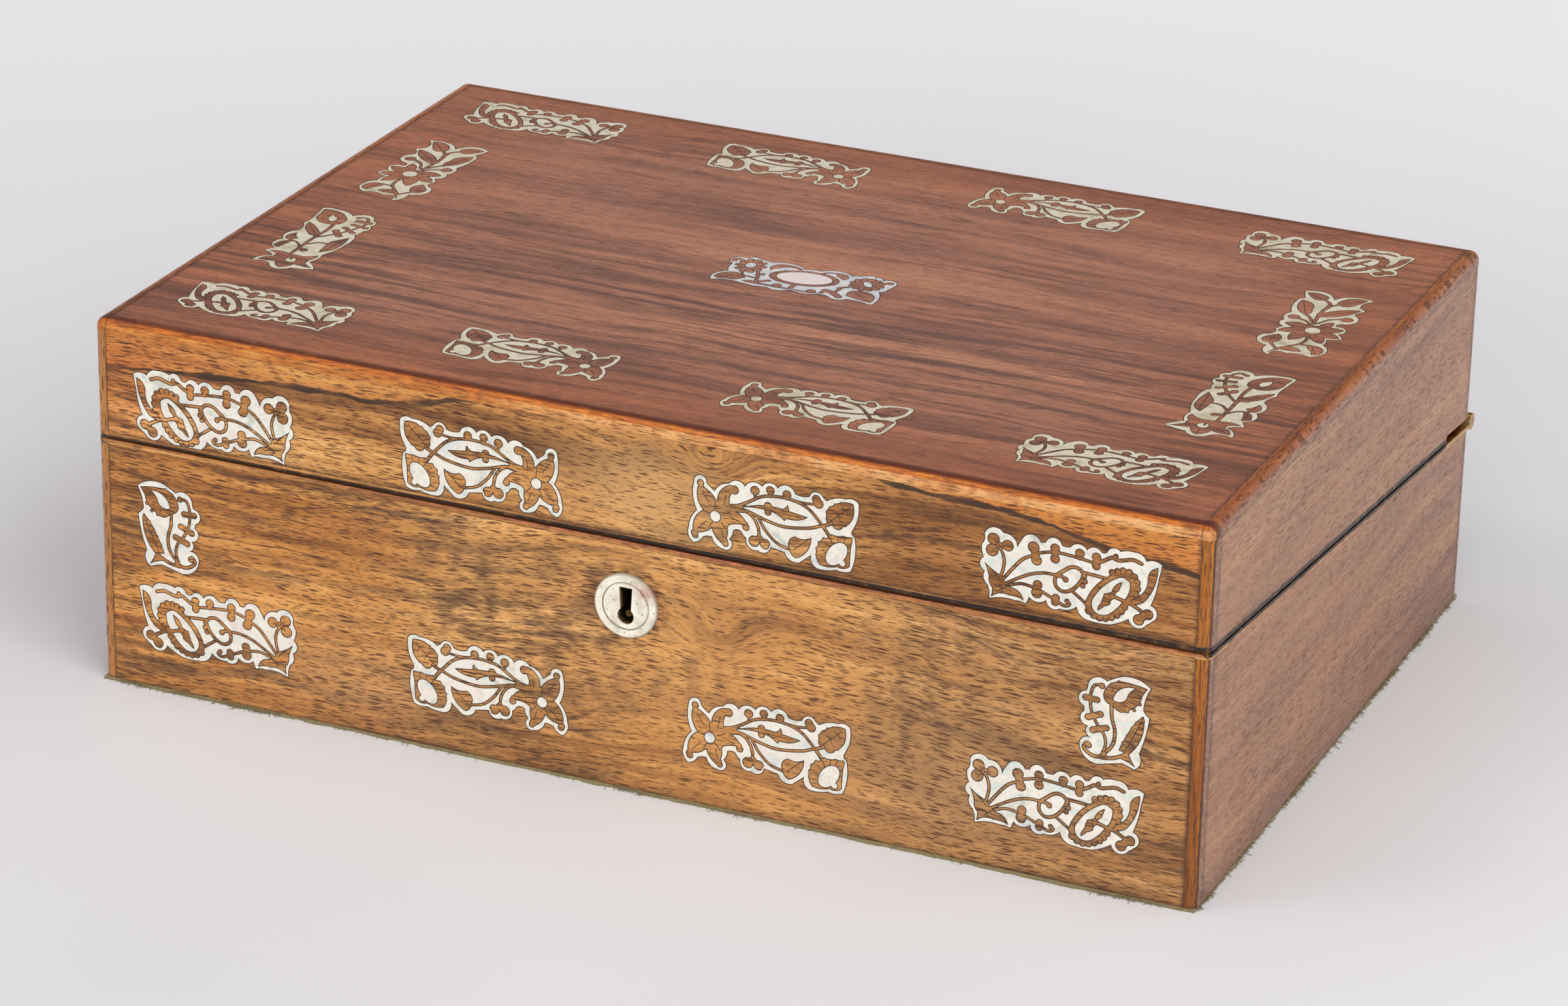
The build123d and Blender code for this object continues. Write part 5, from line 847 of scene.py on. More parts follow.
FIGURES["lens"] = dict(
    size=(56, 27),
    outline=blob(
        -25.5, 10, -24.3, 10.9, -21.7, 10.7, -19.2, 10.6, -15.9, 9.1, -15.1, 9.6, -14.6, 10.1, -12.7, 11.2,
        -10.6, 9.4, -8.4, 9, -6.2, 9.4, -3.6, 11.5, -0.9, 10.1, 1.4, 11.3, 3.9, 9.7, 5.8, 10.6, 9.2, 8.7,
        11.7, 10.1, 14.1, 8.7, 17, 7.6, 18.5, 5.6, 19.8, 6.5, 21, 7.6, 23, 9.7, 24.9, 7.6, 25.2, 3.2, 23.9, -1.2,
        25.7, -3.8, 26.4, -6.8, 26.6, -8.5, 24.9, -11.3, 23.2, -10.6, 22, -9.1, 20.5, -8.5, 19.1, -8.5,
        17.9, -10.6, 15.5, -11.6, 13.2, -10.9, 13.8, -8.2, 12.9, -6.8, 12.6, -5.3, 11.4, -4.8, 9.9, -5.3,
        9.4, -6.2, 8.5, -6.8, 8, -9.1, 4.9, -10, 2.9, -10.4, 1, -8.2, -0.9, -8.5, -3.4, -9, -5.4, -11.2, -8, -11.2,
        -10.1, -9.4, -11.5, -8.2, -11.8, -10.6, -13.3, -11.9, -15.6, -12, -19.2, -11.2, -21.5, -11.5, -23.6, -10.9,
        -24.9, -5.6, -24.5, -0.3, -23.7, 0.4, -23.6, 1.2, -24.3, 2.6, -25.2, 4.7, -25.6, 7.4),
    wood=[
        blob(-24, 9.6, -20.9, 9.7, -18, 8.2, -16.1, 6.5, -15.8, 4.4, -16.2, 2.6, -17.7, 2.1, -19.5, 1, -20.9, 2.1,
        -23.3, 4.1, -24.2, 6.8, -24.2, 8.2),
        blob(-23.9, -0.3, -22.4, -0.6, -21.2, -0.4, -19.2, -0.9, -17.4, -0.6, -17, -1.5, -15.9, -2.2, -14, -3.5,
        -13.4, -5.3, -12.9, -7.6, -14, -10.6, -16.8, -10.9, -19.5, -10.3, -21.5, -10.5, -23.3, -9.4, -23.4, -5.6,
        -23.6, -3.2, -23.9, -1.8),
        blob(8, 2.9, 10.6, 3, 13.4, 2.6, 14.6, 1.6, 15.2, 0.4, 11.8, 0.4, 8.2, 0.9, 9.6, 1.9),
        blob(-10.2, 3, -5.6, 3.7, -1.5, 4.2, 3.8, 4.1, 9.6, 2.4, 3.8, 2.9, -1.5, 2.1, -5.6, 1.3),
        blob(-3.9, 5.6, -3.2, 4.6, -1.2, 4.1, -3, 3.2, -4, 3.2, -4.4, 4.3),
        blob(-3, 0.6, -2, 1.4, 0.4, 2.5, -1.6, 3, -3.6, 2.2, -3.6, 1.3),
        blob(-11.4, -2.9, -9.5, -3.8, -6.5, -3.5, -4.8, -4.7, -4.8, -7.6, -5.4, -9.2, -6.8, -10.1, -9.8, -7.9),
        blob(13.4, 1.6, 13.9, 4.2, 12.9, 6.2, 12.6, 7.6, 13.6, 8.4, 16, 7, 17.7, 2.9, 15.4, 1.6),
        blob(17.8, 2.7, 19.6, 4.9, 22, 6.4, 22.8, 7.2, 23.6, 6.4, 23.9, 2.9, 22, -0.9, 19.6, 0.6),
        blob(21.6, -0.6, 24.4, -3.4, 25.1, -7.4, 24.6, -9.4, 23.6, -8, 20.8, -7.1, 18.9, -5.4, 20, -2.4),
        blob(19.4, -5, 18.4, -7.8, 15.8, -10.2, 14.3, -9.6, 14.6, -8.2, 14.2, -6.2, 14.6, -4, 17, -3.6),
        blob(14.8, -4.4, 12, -3.3, 9.4, -3.1, 8.1, -2.6, 8.8, -1.8, 10.2, -0.2, 13.6, 0.9, 15.4, -1.6),
        *discs(-18.6, 8.3, 0.6, -17.2, 7.2, 0.6, -16.2, 5.8, 0.6, -20.4, 9.2, 0.5, -21.6, 2.9, 0.55,
        -23.1, 4.9, 0.55, -19.9, 1.7, 0.5, -14, -4, 0.6, -13.4, -5.9, 0.6, -13.4, -7.8, 0.6, -15.3, -2.6, 0.6,
        2, 4.2, 1.2, 2, 2.3, 1.05, -12.7, 9, 1.35, -13.4, 7.8, 1.45, -3.7, 8.7, 1.35, 1.4, 9, 1.3, 6.1, 8.1, 1.4,
        2.7, -7.6, 1.6, 6.1, -7.4, 1.7, 4.5, -6.4, 1.25, 17.6, -1.5, 4.5, 12.4, 7.1, 1.35, 22.9, 7.3, 1.1,
        24.4, -8.9, 1.05, 14.9, -9.9, 0.95, 8.7, -3.6, 1.1),
        stem(0.8, -12.4, 7.5, -8.9, 7.1, -5.2, 7.4),
        *stems(0.9, (6.2, 7.6, 6, 6), (1.4, 8.4, 1.4, 7.2), (-5, -7.8, -0.9, -6.6, 2.6, -3.5, 4.9, 0)),
        *stems(0.95, (-14.8, 1.3, -10.9, 5.3, -7.2, 7, -3, 7.6, 0.8, 7.4, 4.4, 6.5, 8.8, 3.8, 13.6, 1.4),
        (-14.6, 1.4, -10.4, -0.2, -3, -1.2, 2.9, -0.2, 8.8, 1.5, 13.6, 1.4)),
        stem(1, 4.4, -6.2, 5.1, -2.4, 7, 0.3, 10.2, 1.8),
        *stems(1.1, (-17, 2.3, -14.8, 1.3), (-18.3, -3.8, -16.5, -0.9, -14.8, 1.3))],
    pearl=[
        oval(-19.2, -6.4, 4.2, 2.6, -52), *discs(-21, -8.9, 0.95, 18.2, -2.1, 1.65),
        stem(1.4, -19.8, -7.9, -21, -8.9)],
    cuts=[
        *stems(0.22, (-21.8, -0.9, -21.4, -2.4), (-19.6, -1.1, -19.5, -2.5), (-15.4, -3.6, -16.6, -4.4),
        (-14.4, -6, -15.6, -6.2), (-14.2, -8.3, -15.3, -8), (-8.2, 2.7, 7, 2.9)),
        *stems(0.24, (15.6, 2, 15, 5), (20.2, 1.8, 22.4, 4.8), (21, -4, 23.6, -6.8), (16.4, -5.4, 15.6, -8),
        (13.2, -1.6, 10.4, -2.4)),
        *stems(0.26, (-18.3, -3.9, -16.2, -0.8), (-10.6, -3.6, -6.2, -7.6)),
        *ribs(0.26, 0.4, 1.5, -23, 8.6, -20.6, 6.4, -18.4, 4.4, -16.4, 2.4),
        *rays(17.9, -1.9, 4, 4, 0, 12, 300, 5, 0.55, 1.15)])
FIGURES["small"] = dict(
    size=(25, 32),
    outline=blob(
        -10, 11.3, -6.6, 13.2, -1.9, 13.4, 0.7, 12.3, 2.9, 11, 5.1, 11.8, 8.4, 8.2, 8.6, 7.6, 8.8, 7, 11, 4.9,
        9.4, 2.3, 9.2, 1.4, 9.2, 0.7, 10.3, -1.2, 7.9, -3.6, 8.5, -5.4, 7, -7, 9.2, -7.4, 10.2, -9.8, 8.4, -13.3,
        4.2, -14.7, 0.1, -13.6, -2.5, -13, -4.6, -13.6, -6.2, -14.2, -7.7, -12.7, -7.4, -9.2, -9.1, -3.3, -10, 2.3,
        -9.1, 3, -8.1, 4.3, -8.7, 8.2),
    wood=[
        blob(-9.1, 11, -5.8, 11.6, -2.2, 11.8, 2.5, 9.9, 3.8, 7, 3.1, 4.9, 1, 4.1, -0.8, 2.6, -4, 3.5, -6.6, 5.8,
        -7.7, 8.8, -8.4, 9.9),
        blob(-8.1, 2.6, -5.8, -0.1, -4, -3.3, -2.8, -5.7, -1.4, -9.2, -3.1, -9.5, -4.9, -9.5, -7.5, -5.4,
        -8.6, 0.2, -8.6, 1.4),
        blob(-4.4, -9.6, -5.2, -11.4, -6.5, -13.4, -4.4, -12.4, -1.6, -11.6, -2.6, -10.2),
        *discs(-5.4, 3.9, 0.55, -3.4, 3.1, 0.55, -1.4, 2.9, 0.55, -7, 6, 0.55, -0.6, 11.5, 0.5, 1.6, 10.3, 0.5,
        7.5, -9.5, 0.95, -6.4, 0.2, 0.5, -5.1, -1.9, 0.5, -3.9, -4.2, 0.5, -2.6, -6.8, 0.5, 4.3, 9.3, 0.95,
        5.6, 4.8, 1, 9, 4.9, 1, 4.4, 0.6, 1, 8, -0.9, 1.05, 2.5, -3.2, 1, 6.4, -4.6, 1.05),
        stem(0.95, 4.6, 9.6, 6.6, 8.9, 7.5, 6.1, 7.3, 2, 6.3, -0.7, 4.8, -3.3, 3.1, -5.4, 2.5, -8.3, 3.4, -11.4),
        stem(1.1, 1.3, 4.3, 1, 0.2, 0, -3.3, 0.1, -6.8, 1.2, -9.2, 3, -11.2),
        *stems(1.2, (2.6, -11.6, 5, -12.5, 7.2, -12, 8.9, -10.4, 8.1, -8.9, 7.3, -9.2), (-4.3, -9.2, -2.2, -10.9,
        0.7, -12.1, 3.6, -12.5)),
        *stems(1.9, (5.9, 4.8, 8.9, 4.9), (4.8, 0.5, 7.9, -0.9), (2.9, -3.3, 6.3, -4.5))],
    pearl=[blob(-5.5, 10.4, -1.1, 9.3, 0.9, 5.8, -1.4, 5.5, -3.1, 7, -4, 9.1)],
    cuts=[
        *stems(0.22, (-5.6, 5.6, -4.4, 6.2), (-7.2, 8.6, -6, 8.7), (1.6, 9.4, 0.9, 8.4), (-2.6, 3.6, -2.4, 4.8),
        (3.1, 6.6, 1.9, 6.2), (-4, 11, -4.3, 10.3)),
        stem(0.24, -4.4, -10, -5.6, -12.6),
        *ribs(0.26, -0.7, 1.1, -8, 1.8, -6.6, -1.8, -5.2, -5, -3.4, -8.8)])
FIGURES["star"] = dict(
    size=(26, 57), grow=0.5,
    outline=blob(
        -10.3, 25.6, -6.8, 26.8, -3.1, 25.8, -1.4, 23.1, -0.1, 21.4, 0.7, 23.9, 2.8, 26, 6.1, 26.8, 9.9, 26.4,
        7.8, 22.7, 8.4, 18.9, 9.4, 18.3, 10.3, 17.3, 8.8, 15.2, 8.6, 12.3, 10.9, 8.5, 8.2, 5.2, 6.7, 4.3, 6.7, 1,
        10.3, -0.7, 8.4, -3.6, 10, -5.2, 11.2, -6.9, 9, -8.4, 6.7, -8.6, 7.8, -11.5, 7.6, -14.4, 10.5, -19,
        7.4, -24.2, 4, -23.2, 0.3, -24.2, -3.1, -24, -4.3, -27.3, -6.2, -24.8, -5.8, -20.7, -8.9, -19.8,
        -9.9, -13.2, -8.1, -11.9, -8.3, -7.3, -7.4, -5.7, -6, -4, -8.9, -2.3, -8.1, 0.6, -9.5, 3.9, -8.3, 7.3,
        -9.9, 12.7, -9.9, 18.5, -8.9, 19.8, -8.5, 20.6, -9.5, 23.1),
    wood=[
        blob(-9.9, 25, -6, 25.8, -2.6, 23.7, -3.1, 21, -6, 20.2, -8.1, 22.3),
        blob(9, 26.2, 4, 25.8, 1.3, 21.8, 2, 18.9, 5.7, 19.3, 7.4, 22.3),
        blob(-9.3, 18.5, -6, 17.3, -4.1, 12.3, -3.5, 8.5, -4.3, 6.8, -7.6, 9.8, -9.3, 14.3, -9.5, 16.4),
        blob(9.5, 17.7, 4.5, 15.6, 0.3, 11.4, -1.4, 8.5, 0.3, 7.3, 5.3, 10.2, 8.6, 14.3, 9.2, 16),
        blob(-8, -1.5, -4.6, 0.4, -0.6, -0.6, -1.6, -3, -2.6, -4.6, -5.6, -3.6),
        blob(-7.8, -8.8, -6.8, -5.6, -2.4, -3.8, -1.4, -6, -1, -7.8, -4.4, -8.6),
        blob(-2.3, -14.4, -3.6, -10.4, -2.4, -6.4, 0.2, -7.2, 1.6, -8.2, 0.4, -11.8),
        blob(7.4, -13.4, 3.6, -11.4, 2.2, -8, 4, -6.8, 5.4, -6.2, 7.2, -9.4),
        blob(11, -7.2, 8.2, -8.2, 4.2, -7.2, 4.8, -4.4, 5.6, -3.2, 8.6, -4.4),
        blob(10.2, -0.1, 8.8, -2.8, 5.4, -3.8, 4.4, -2, 3.8, -0.6, 6.8, 0.6),
        blob(5.4, 4.6, 5.9, 2, 4.8, -1.6, 3.2, -0.8, 2.2, -0.2, 3, 2.9),
        blob(-6.4, -11.1, -4.5, -14, -6.4, -19, -8.5, -18.6, -9.3, -14.4, -8.1, -12.8),
        blob(4.9, -16.1, 8.2, -16.1, 9.7, -19, 9, -22.3, 7.4, -22.8, 6.5, -20.3, 4.9, -18.6, 4.5, -17.3),
        blob(-3.5, -22.3, -0.6, -19.4, 4, -21.9, 0.3, -22.8), *discs(8.1, 8.5, 1.9, -7, 4.1, 1.85, 1.7, -4.2, 4.3),
        *stems(0.95, (6.5, 8.1, 3.2, 6, 1.1, 1.6), (-5.3, 3.5, -2.6, 2.3, -0.6, 0.2), (1.8, -16.5, 5.3, -16.1)),
        *stems(1, (-4.6, 7.6, -2.4, 5.4, -0.8, 2.6), (-6.4, -18.4, -5.6, -19.8, -3.4, -22.6)),
        stem(1.05, 1.7, -7.8, 2.4, -12.8, 1.5, -16.5, -1.8, -20.7, -4.2, -26),
        stem(1.1, 2.2, 19.4, 0.3, 17.2, -0.4, 14.3),
        stem(1.2, -3.4, 21.4, -1.2, 19.6, -0.4, 17.3, -0.8, 10.2, 0.1, 0.8)],
    pearl=[disc(1.7, -4.2, 2.4)],
    cuts=[
        *stems(0.24, (-8.6, 24.4, -3.9, 21.6), (7.6, 25.2, 2.8, 20.2), (-8.4, 17.2, -4.8, 8.2), (8.2, 16,
        0.4, 9.2), (-7, -13, -7.2, -17.4), (6, -17.2, 8.2, -21.4), (-2, -21.6, 2.4, -21.9)),
        *rays(1.7, -4.2, 3.3, 3.3, 0, 10, 350, 8, 0.95, 1.5)])
FIGURES["tulip"] = dict(
    size=(25, 56), grow=0.35,
    outline=blob(
        -0.6, 22.9, 2.4, 25.4, 6.5, 26.3, 9, 26.5, 10.9, 25.8, 10.3, 21.7, 9.7, 17.5, 9.5, 15.4, 9.9, 11.7,
        8.4, 8.3, 8.2, 5, 10.5, 0.8, 8.6, -3.3, 10.3, -6.7, 7.4, -10.8, 8.3, -12.5, 9.2, -14.2, 6.5, -15.4,
        4.9, -17.5, 7.8, -19.6, 8.8, -22.9, 5.7, -22.1, 2.4, -23.8, -1, -26.3, -4.3, -23.8, -7.6, -23.3,
        -11, -22.1, -8.9, -19.2, -6.8, -17.5, -8.1, -14.2, -7.6, -10.4, -9.3, -5.4, -9.9, 0, -10.1, 2.9, -9.9, 5.4,
        -9.3, 7.5, -8.3, 8.8, -9.1, 11.3, -9.1, 13.3, -10.3, 15.4, -8.7, 17.9, -9.7, 20.4, -7.6, 22.5, -4.7, 25.8,
        -1.8, 24.6, -1, 23.8),
    wood=[
        blob(10.3, 25.4, 5.7, 25.4, 1.5, 22.5, -0.6, 18.8, -0.1, 15.4, 2.8, 14, 6.5, 14.6, 9, 17.5, 9.5, 21.7,
        10.1, 23.8),
        blob(9.2, 13.3, 5.3, 10.4, 2.2, 6.7, 2.4, 3.3, 4.9, 4.6, 8.2, 8.8),
        blob(-8.5, 6.3, -6.8, 3.8, -4.9, 0.8, -5.1, -3.3, -5.8, -8.8, -8.1, -6.7, -9.3, -1.7, -9.1, 3.3),
        blob(7.8, 3.3, 9.5, 0.8, 8.6, -2.9, 6.5, -2.5, 5.5, -0.8, 7, 0.8),
        blob(5.3, -3.3, 8.2, -4.6, 9.2, -7.5, 8.2, -10.4, 7, -10, 6.5, -6.7),
        blob(-10.4, -21.9, -7, -19.2, -4.6, -16.4, -3.4, -18.6, -3.2, -21, -6.4, -21.6),
        blob(-7.2, -11.4, -7, -15.6, -4.8, -17.6, -2.2, -15.8, -1.2, -14.2, -4.8, -13.4),
        blob(-1.2, -25.4, -3.6, -22.8, -4.2, -20, -1, -19, 2.2, -19.6, 1.6, -22.6),
        blob(7.9, -21.9, 3.6, -21.6, 0.6, -19.8, 2.4, -17.2, 4.4, -15.8, 6.4, -18.2),
        blob(8.6, -14, 4.8, -12.8, 1, -13.9, 1.4, -16.2, 3.6, -17, 5.6, -15.2),
        oval(-1.2, -17.6, 5.6, 3.8, 0),
        *discs(-2.9, 22.9, 0.9, -8.1, 20, 1.1, -4.1, 20.2, 1.1, -9, 15.8, 1, -4.4, 16.7, 1, -7.3, 10.4, 1,
        -3.2, 13.4, 1.1, -1.9, 10, 1.1, -4.9, 6.2, 1.1, -1, -9.2, 1.3),
        *stems(0.9, (2.8, 4.4, 1.2, 2.2), (7.4, -2.9, 4, -4.2, 1.6, -7)),
        *stems(1, (-3, 23, -5.1, 23.8, -6.8, 21.7, -7.4, 17.9, -6.6, 14.6, -5.3, 11.3, -3.3, 7.5, 0.8, 2.4),
        (-5.2, -1.2, -1.8, -1.7, 1, -4.8), (-0.8, -8.3, 1.2, -8.6)),
        stem(1.2, 1.4, 14.6, 0.9, 9.2, 1.3, 2.9, 1.3, -5.4, 1.1, -15),
        stem(1.6, -7.2, 10.4, -3.3, 13.3), stem(1.7, -8.9, 15.8, -4.5, 16.7), stem(2, -8, 20, -4.3, 20.2),
        stem(2.2, -4.7, 6.3, -1.8, 9.6)],
    pearl=[blob(5.3, 21.9, 5.5, 18.8, 3.6, 16.5, 2.6, 18.3, 3.6, 20.4, 4.5, 21), disc(-1.4, -18.3, 1.7)],
    inlay=[stem(0.7, -1.1, -16.4, -1.2, -17.8)],
    cuts=[
        *stems(0.22, (1.4, 19.4, 2.4, 19.4), (3.4, 15.2, 3.9, 16.2), (7.2, 17, 6.4, 17.7), (4.6, 23.8, 5, 22.6),
        (8.6, 22.6, 7.4, 22)),
        *stems(0.24, (8.2, 11.6, 3.2, 5.4), (-7.8, 4.4, -6.8, -6.4), (7.8, 1.8, 7.4, -1.8), (7.2, -4.4, 7.8, -8.6),
        (-8.4, -21.4, -5, -18.8), (6, -20.6, 2.4, -18.6), (-1.2, -23.6, -1.3, -20.8))])
FIGURES["oval"] = dict(
    size=(57, 27),
    outline=blob(
        -26.7, 7.4, -25.3, 8.9, -22, 8.9, -21.4, 10.4, -18.8, 10.1, -16.7, 9.8, -14.7, 9.2, -13.8, 9.3, -12.9, 9.8,
        -8.5, 10.7, -2.9, 8, -0.6, 8.9, 2.1, 8.9, 7.7, 11.3, 12.1, 9.2, 13, 10.1, 14.4, 10.1, 15.3, 11.1,
        16.5, 11.4, 17.7, 12.1, 18.9, 11.1, 20.3, 11.6, 21.8, 9.8, 24.4, 11, 26.9, 8.3, 26.5, 5.7, 25.9, 3.6,
        25.9, 2.1, 24.1, 1, 26.2, -3.1, 26.6, -7.9, 25.9, -9.9, 24.4, -9.6, 20.9, -8.7, 18, -8.7, 15.6, -10.5,
        12.7, -9.9, 10.9, -8.7, 8.9, -8.7, 5.3, -10.2, -0.3, -9, -2, -10.8, -7.3, -10.5, -9.6, -10.8, -12, -11.1,
        -14.4, -10.5, -16.7, -10.2, -21.1, -9.9, -25.3, -11.7, -26.4, -9, -25.6, -5.2, -24.6, -4, -23.5, -2.9,
        -24.7, 0.4, -24.7, 3.3, -26.3, 4.8),
    wood=[
        blob(-25.5, -9, -24.2, -4.8, -21, -3, -18.2, -4.3, -16.9, -6.6, -18.4, -8.7, -21.6, -9.5, -24.6, -9.7),
        blob(16.4, -5.2, 16.9, -1.8, 19.4, -0.9, 23.4, -2, 25.4, -5.2, 25.6, -7, 25.3, -8.7, 21.4, -7.9,
        17.6, -6.9, 16.8, -6.4),
        blob(-12.9, 4.2, -12.8, 7.4, -10.4, 9.3, -7, 9.5, -3.2, 7.2, -4.2, 7, -5.1, 7.5, -8.4, 7.5, -10.6, 5.4,
        -11.6, 4.4, -11.9, 3.4, -12.5, 3.6),
        blob(2.4, 7, 3.9, 8.8, 6.6, 9.6, 9.6, 9.8, 11.4, 8.2, 11.7, 6.6, 10.8, 5.3, 9.4, 6.2, 8, 7.2, 7.5, 8.2,
        6.8, 8.9, 5.2, 8.6, 3.8, 7.2, 3.2, 6.9),
        blob(-16.4, -8.9, -14.6, -7.5, -11.8, -7.8, -10.2, -8.6, -8.6, -9.2, -12.4, -9.6),
        oval(-0.2, 1.1, 10.9, 6.2, 8), oval(-19, 3.8, 3.9, 5, 8), oval(18.8, 4.8, 4.6, 4.6, 0),
        *discs(-25.3, 5.7, 0.85, 24.7, 8.7, 1.2, -12.9, -1.4, 0.95, -9.2, -5.4, 0.9, -5.3, -7.7, 1.5,
        -5.3, -8.6, 1.2, 5.8, -7.7, 1.55, 12.6, -1.6, 0.95),
        stem(0.8, -19.7, -1.6, -17.8, -4.6, -16.9, -6.2),
        stem(0.9, -4.6, -9.1, -2, -8.9, 2, -8.9, 5.8, -8.9, 9, -8.4), stem(1, -17.6, -4.6, -13.2, -5),
        *stems(1.1, (-15.6, 1.2, -13.6, -3, -12.4, -7.4), (-13.1, -1.6, -14.3, -2.6)),
        *stems(1.2, (22.6, 7.8, 24.7, 8.7), (-10.6, -8.7, -7.6, -8.9, -5.4, -8.7), (14.6, 0.6, 12.8, -1.2,
        12.8, -3.5, 12, -5.6)),
        stem(1.3, 9.1, -5, 9, -8.2),
        stem(1.4, -22.4, 6, -23.4, 7.2, -25.1, 7.4, -25.7, 6.3, -25.4, 5.5),
        *stems(1.6, (-12.2, -7.9, -10.6, -6.6, -9.3, -5.5), (-0.8, -4.6, -0.8, -8.6), (5.8, -7.7, 5.8, -8.8)),
        stem(2.3, 9.4, -5.2, 12, -5.9, 15, -8.3), *scallops(-19, 3.8, 3.9, 5, 8, 1.15, 0, 324, 10),
        *scallops(18.8, 4.8, 4.4, 4.4, 0, 1.2, 0, 330, 12)],
    pearl=[oval(-0.2, 1.3, 8.7, 4.7, 8), oval(-19.2, 4.2, 1.6, 2.1, 0), oval(18.9, 5.1, 2.3, 1.25, -50)],
    cuts=[
        stem(0.22, -22.6, -8.4, -22, -6.4),
        *stems(0.24, (-24.6, -8.4, -18.2, -5.4), (24.6, -7.6, 18.2, -3.2), (-11.2, 7.6, -6, 8.4), (9, 7.6,
        10.6, 8.4)),
        *rays(18.8, 4.8, 4.6, 4.6, 0, 15, 345, 11, 0.55, 1.05), *rays(-19, 3.8, 4.1, 5.2, 8, 18, 342, 9, 0.6, 1.05),
        *rays(-0.2, 1.1, 10.9, 6.2, 8, 20, 340, 15, 0.88, 0.99)])

# ---------------------------------------------------------------- figures as fields on a grid, and their outlines
FAR = 9.0  # distance given to what lies well away from a shape, mm


def polygon(c):
    """Points round a closed chain of arcs."""
    c = np.array(c, float).reshape(-1, 2)
    out = []
    for i in range(0, len(c), 2):
        a, m, b = c[i], c[i + 1], c[(i + 2) % len(c)]
        d = 2 * (a[0] * (m[1] - b[1]) + m[0] * (b[1] - a[1]) + b[0] * (a[1] - m[1]))
        if abs(d) < 1e-6:
            out.append(a[None])
            continue
        ux = ((a @ a) * (m[1] - b[1]) + (m @ m) * (b[1] - a[1]) + (b @ b) * (a[1] - m[1])) / d
        uy = ((a @ a) * (b[0] - m[0]) + (m @ m) * (a[0] - b[0]) + (b @ b) * (m[0] - a[0])) / d
        r = hypot(a[0] - ux, a[1] - uy)
        t0, t1, t2 = (atan2(p[1] - uy, p[0] - ux) for p in (a, m, b))
        turn = (t2 - t0) % (2 * pi)
        if (t1 - t0) % (2 * pi) > turn:
            turn -= 2 * pi
        n = max(2, int(abs(turn) * r / 0.35) + 1)
        t = t0 + turn * np.arange(n) / n
        out.append(np.stack([ux + r * np.cos(t), uy + r * np.sin(t)], 1))
    return np.concatenate(out)


def spline(c):
    """Points along a smooth line through the given ones, about 0.25 mm apart."""
    p = np.array(c, float).reshape(-1, 2)
    if len(p) == 2:
        return p
    p = np.vstack([2 * p[0] - p[1], p, 2 * p[-1] - p[-2]])
    out = []
    for a, b, d, e in zip(p, p[1:], p[2:], p[3:]):
        n = max(2, int(np.linalg.norm(d - b) / 0.25))
        t = (np.arange(n) / n)[:, None]
        out.append(0.5 * (2 * b + (d - a) * t + (2 * a - 5 * b + 4 * d - e) * t ** 2
                          + (3 * b - a - 3 * d + e) * t ** 3))
    return np.vstack([*out, p[-2][None]])


def to_segments(x, y, p, q):
    """Distance from every grid point to the nearest of some line pieces."""
    best = np.full(x.shape, FAR ** 2)
    for (ax, ay), (bx, by) in zip(p, q):
        dx, dy = bx - ax, by - ay
        t = np.clip(((x - ax) * dx + (y - ay) * dy) / (dx * dx + dy * dy + 1e-12), 0, 1)
        best = np.minimum(best, (x - ax - t * dx) ** 2 + (y - ay - t * dy) ** 2)
    return np.sqrt(best)


def distance(shape, x, y):
    """Signed distance to a shape, negative inside."""
    kind, c = shape[:2]
    if kind == "disc":
        return np.hypot(x - c[0], y - c[1]) - c[2]
    if kind == "oval":
        cx, cy, a, b, turn = c
        c, s = cos(radians(turn)), sin(radians(turn))
        u, v = (x - cx) * c + (y - cy) * s, (y - cy) * c - (x - cx) * s
        k = np.hypot(u / a, v / b)
        return k * (k - 1) / (np.hypot(u / a ** 2, v / b ** 2) + 1e-9)
    w = shape[2] if kind == "stem" else 0
    p = spline(c) if kind == "stem" else polygon(c)
    lo, hi = p.min(0) - (1 + w), p.max(0) + (1 + w)
    near = (x > lo[0]) & (x < hi[0]) & (y > lo[1]) & (y < hi[1])
    nx, ny = x[near], y[near]
    out = np.full(x.shape, FAR)
    if kind == "stem":
        out[near] = to_segments(nx, ny, p[:-1], p[1:]) - w / 2
        return out
    q = np.roll(p, -1, 0)
    d = to_segments(nx, ny, p, q)
    inside = np.zeros(nx.shape, bool)
    for (ax, ay), (bx, by) in zip(p, q):
        if ay != by:
            inside ^= ((ay > ny) != (by > ny)) & (nx < (bx - ax) * (ny - ay) / (by - ay) + ax)
    out[near] = np.where(inside, -d, d)
    return out


def nearest(shapes, x, y):
    out = np.full(x.shape, FAR)
    for s in shapes:
        out = np.minimum(out, distance(s, x, y))
    return out


def fields(size, outline, wood, pearl, cuts, inlay=(), grow=0.0):
    """Grid, field of the pearl, and field of the dark filling round it and in its saw cuts."""
    (x0, x1), (y0, y1) = ((-s / 2, s / 2 + GRID) for s in size)
    x, y = np.meshgrid(np.arange(x0, x1, GRID), np.arange(y0, y1, GRID))
    x, y = x + 0.3 * GRID, y + 0.3 * GRID
    edge = distance(outline, x, y) - grow
    shell = np.minimum(np.maximum(edge, -nearest(wood, x, y)), np.maximum(edge, -edge - RIM))
    shell = np.minimum(shell, nearest(pearl, x, y))
    shell = np.maximum(shell, -nearest(inlay, x, y)) + SHAVE
    sawn = np.maximum(nearest(cuts, x, y), np.maximum(edge, -shell))
    return x, y, shell, np.minimum(shell - MASTIC_W, sawn)


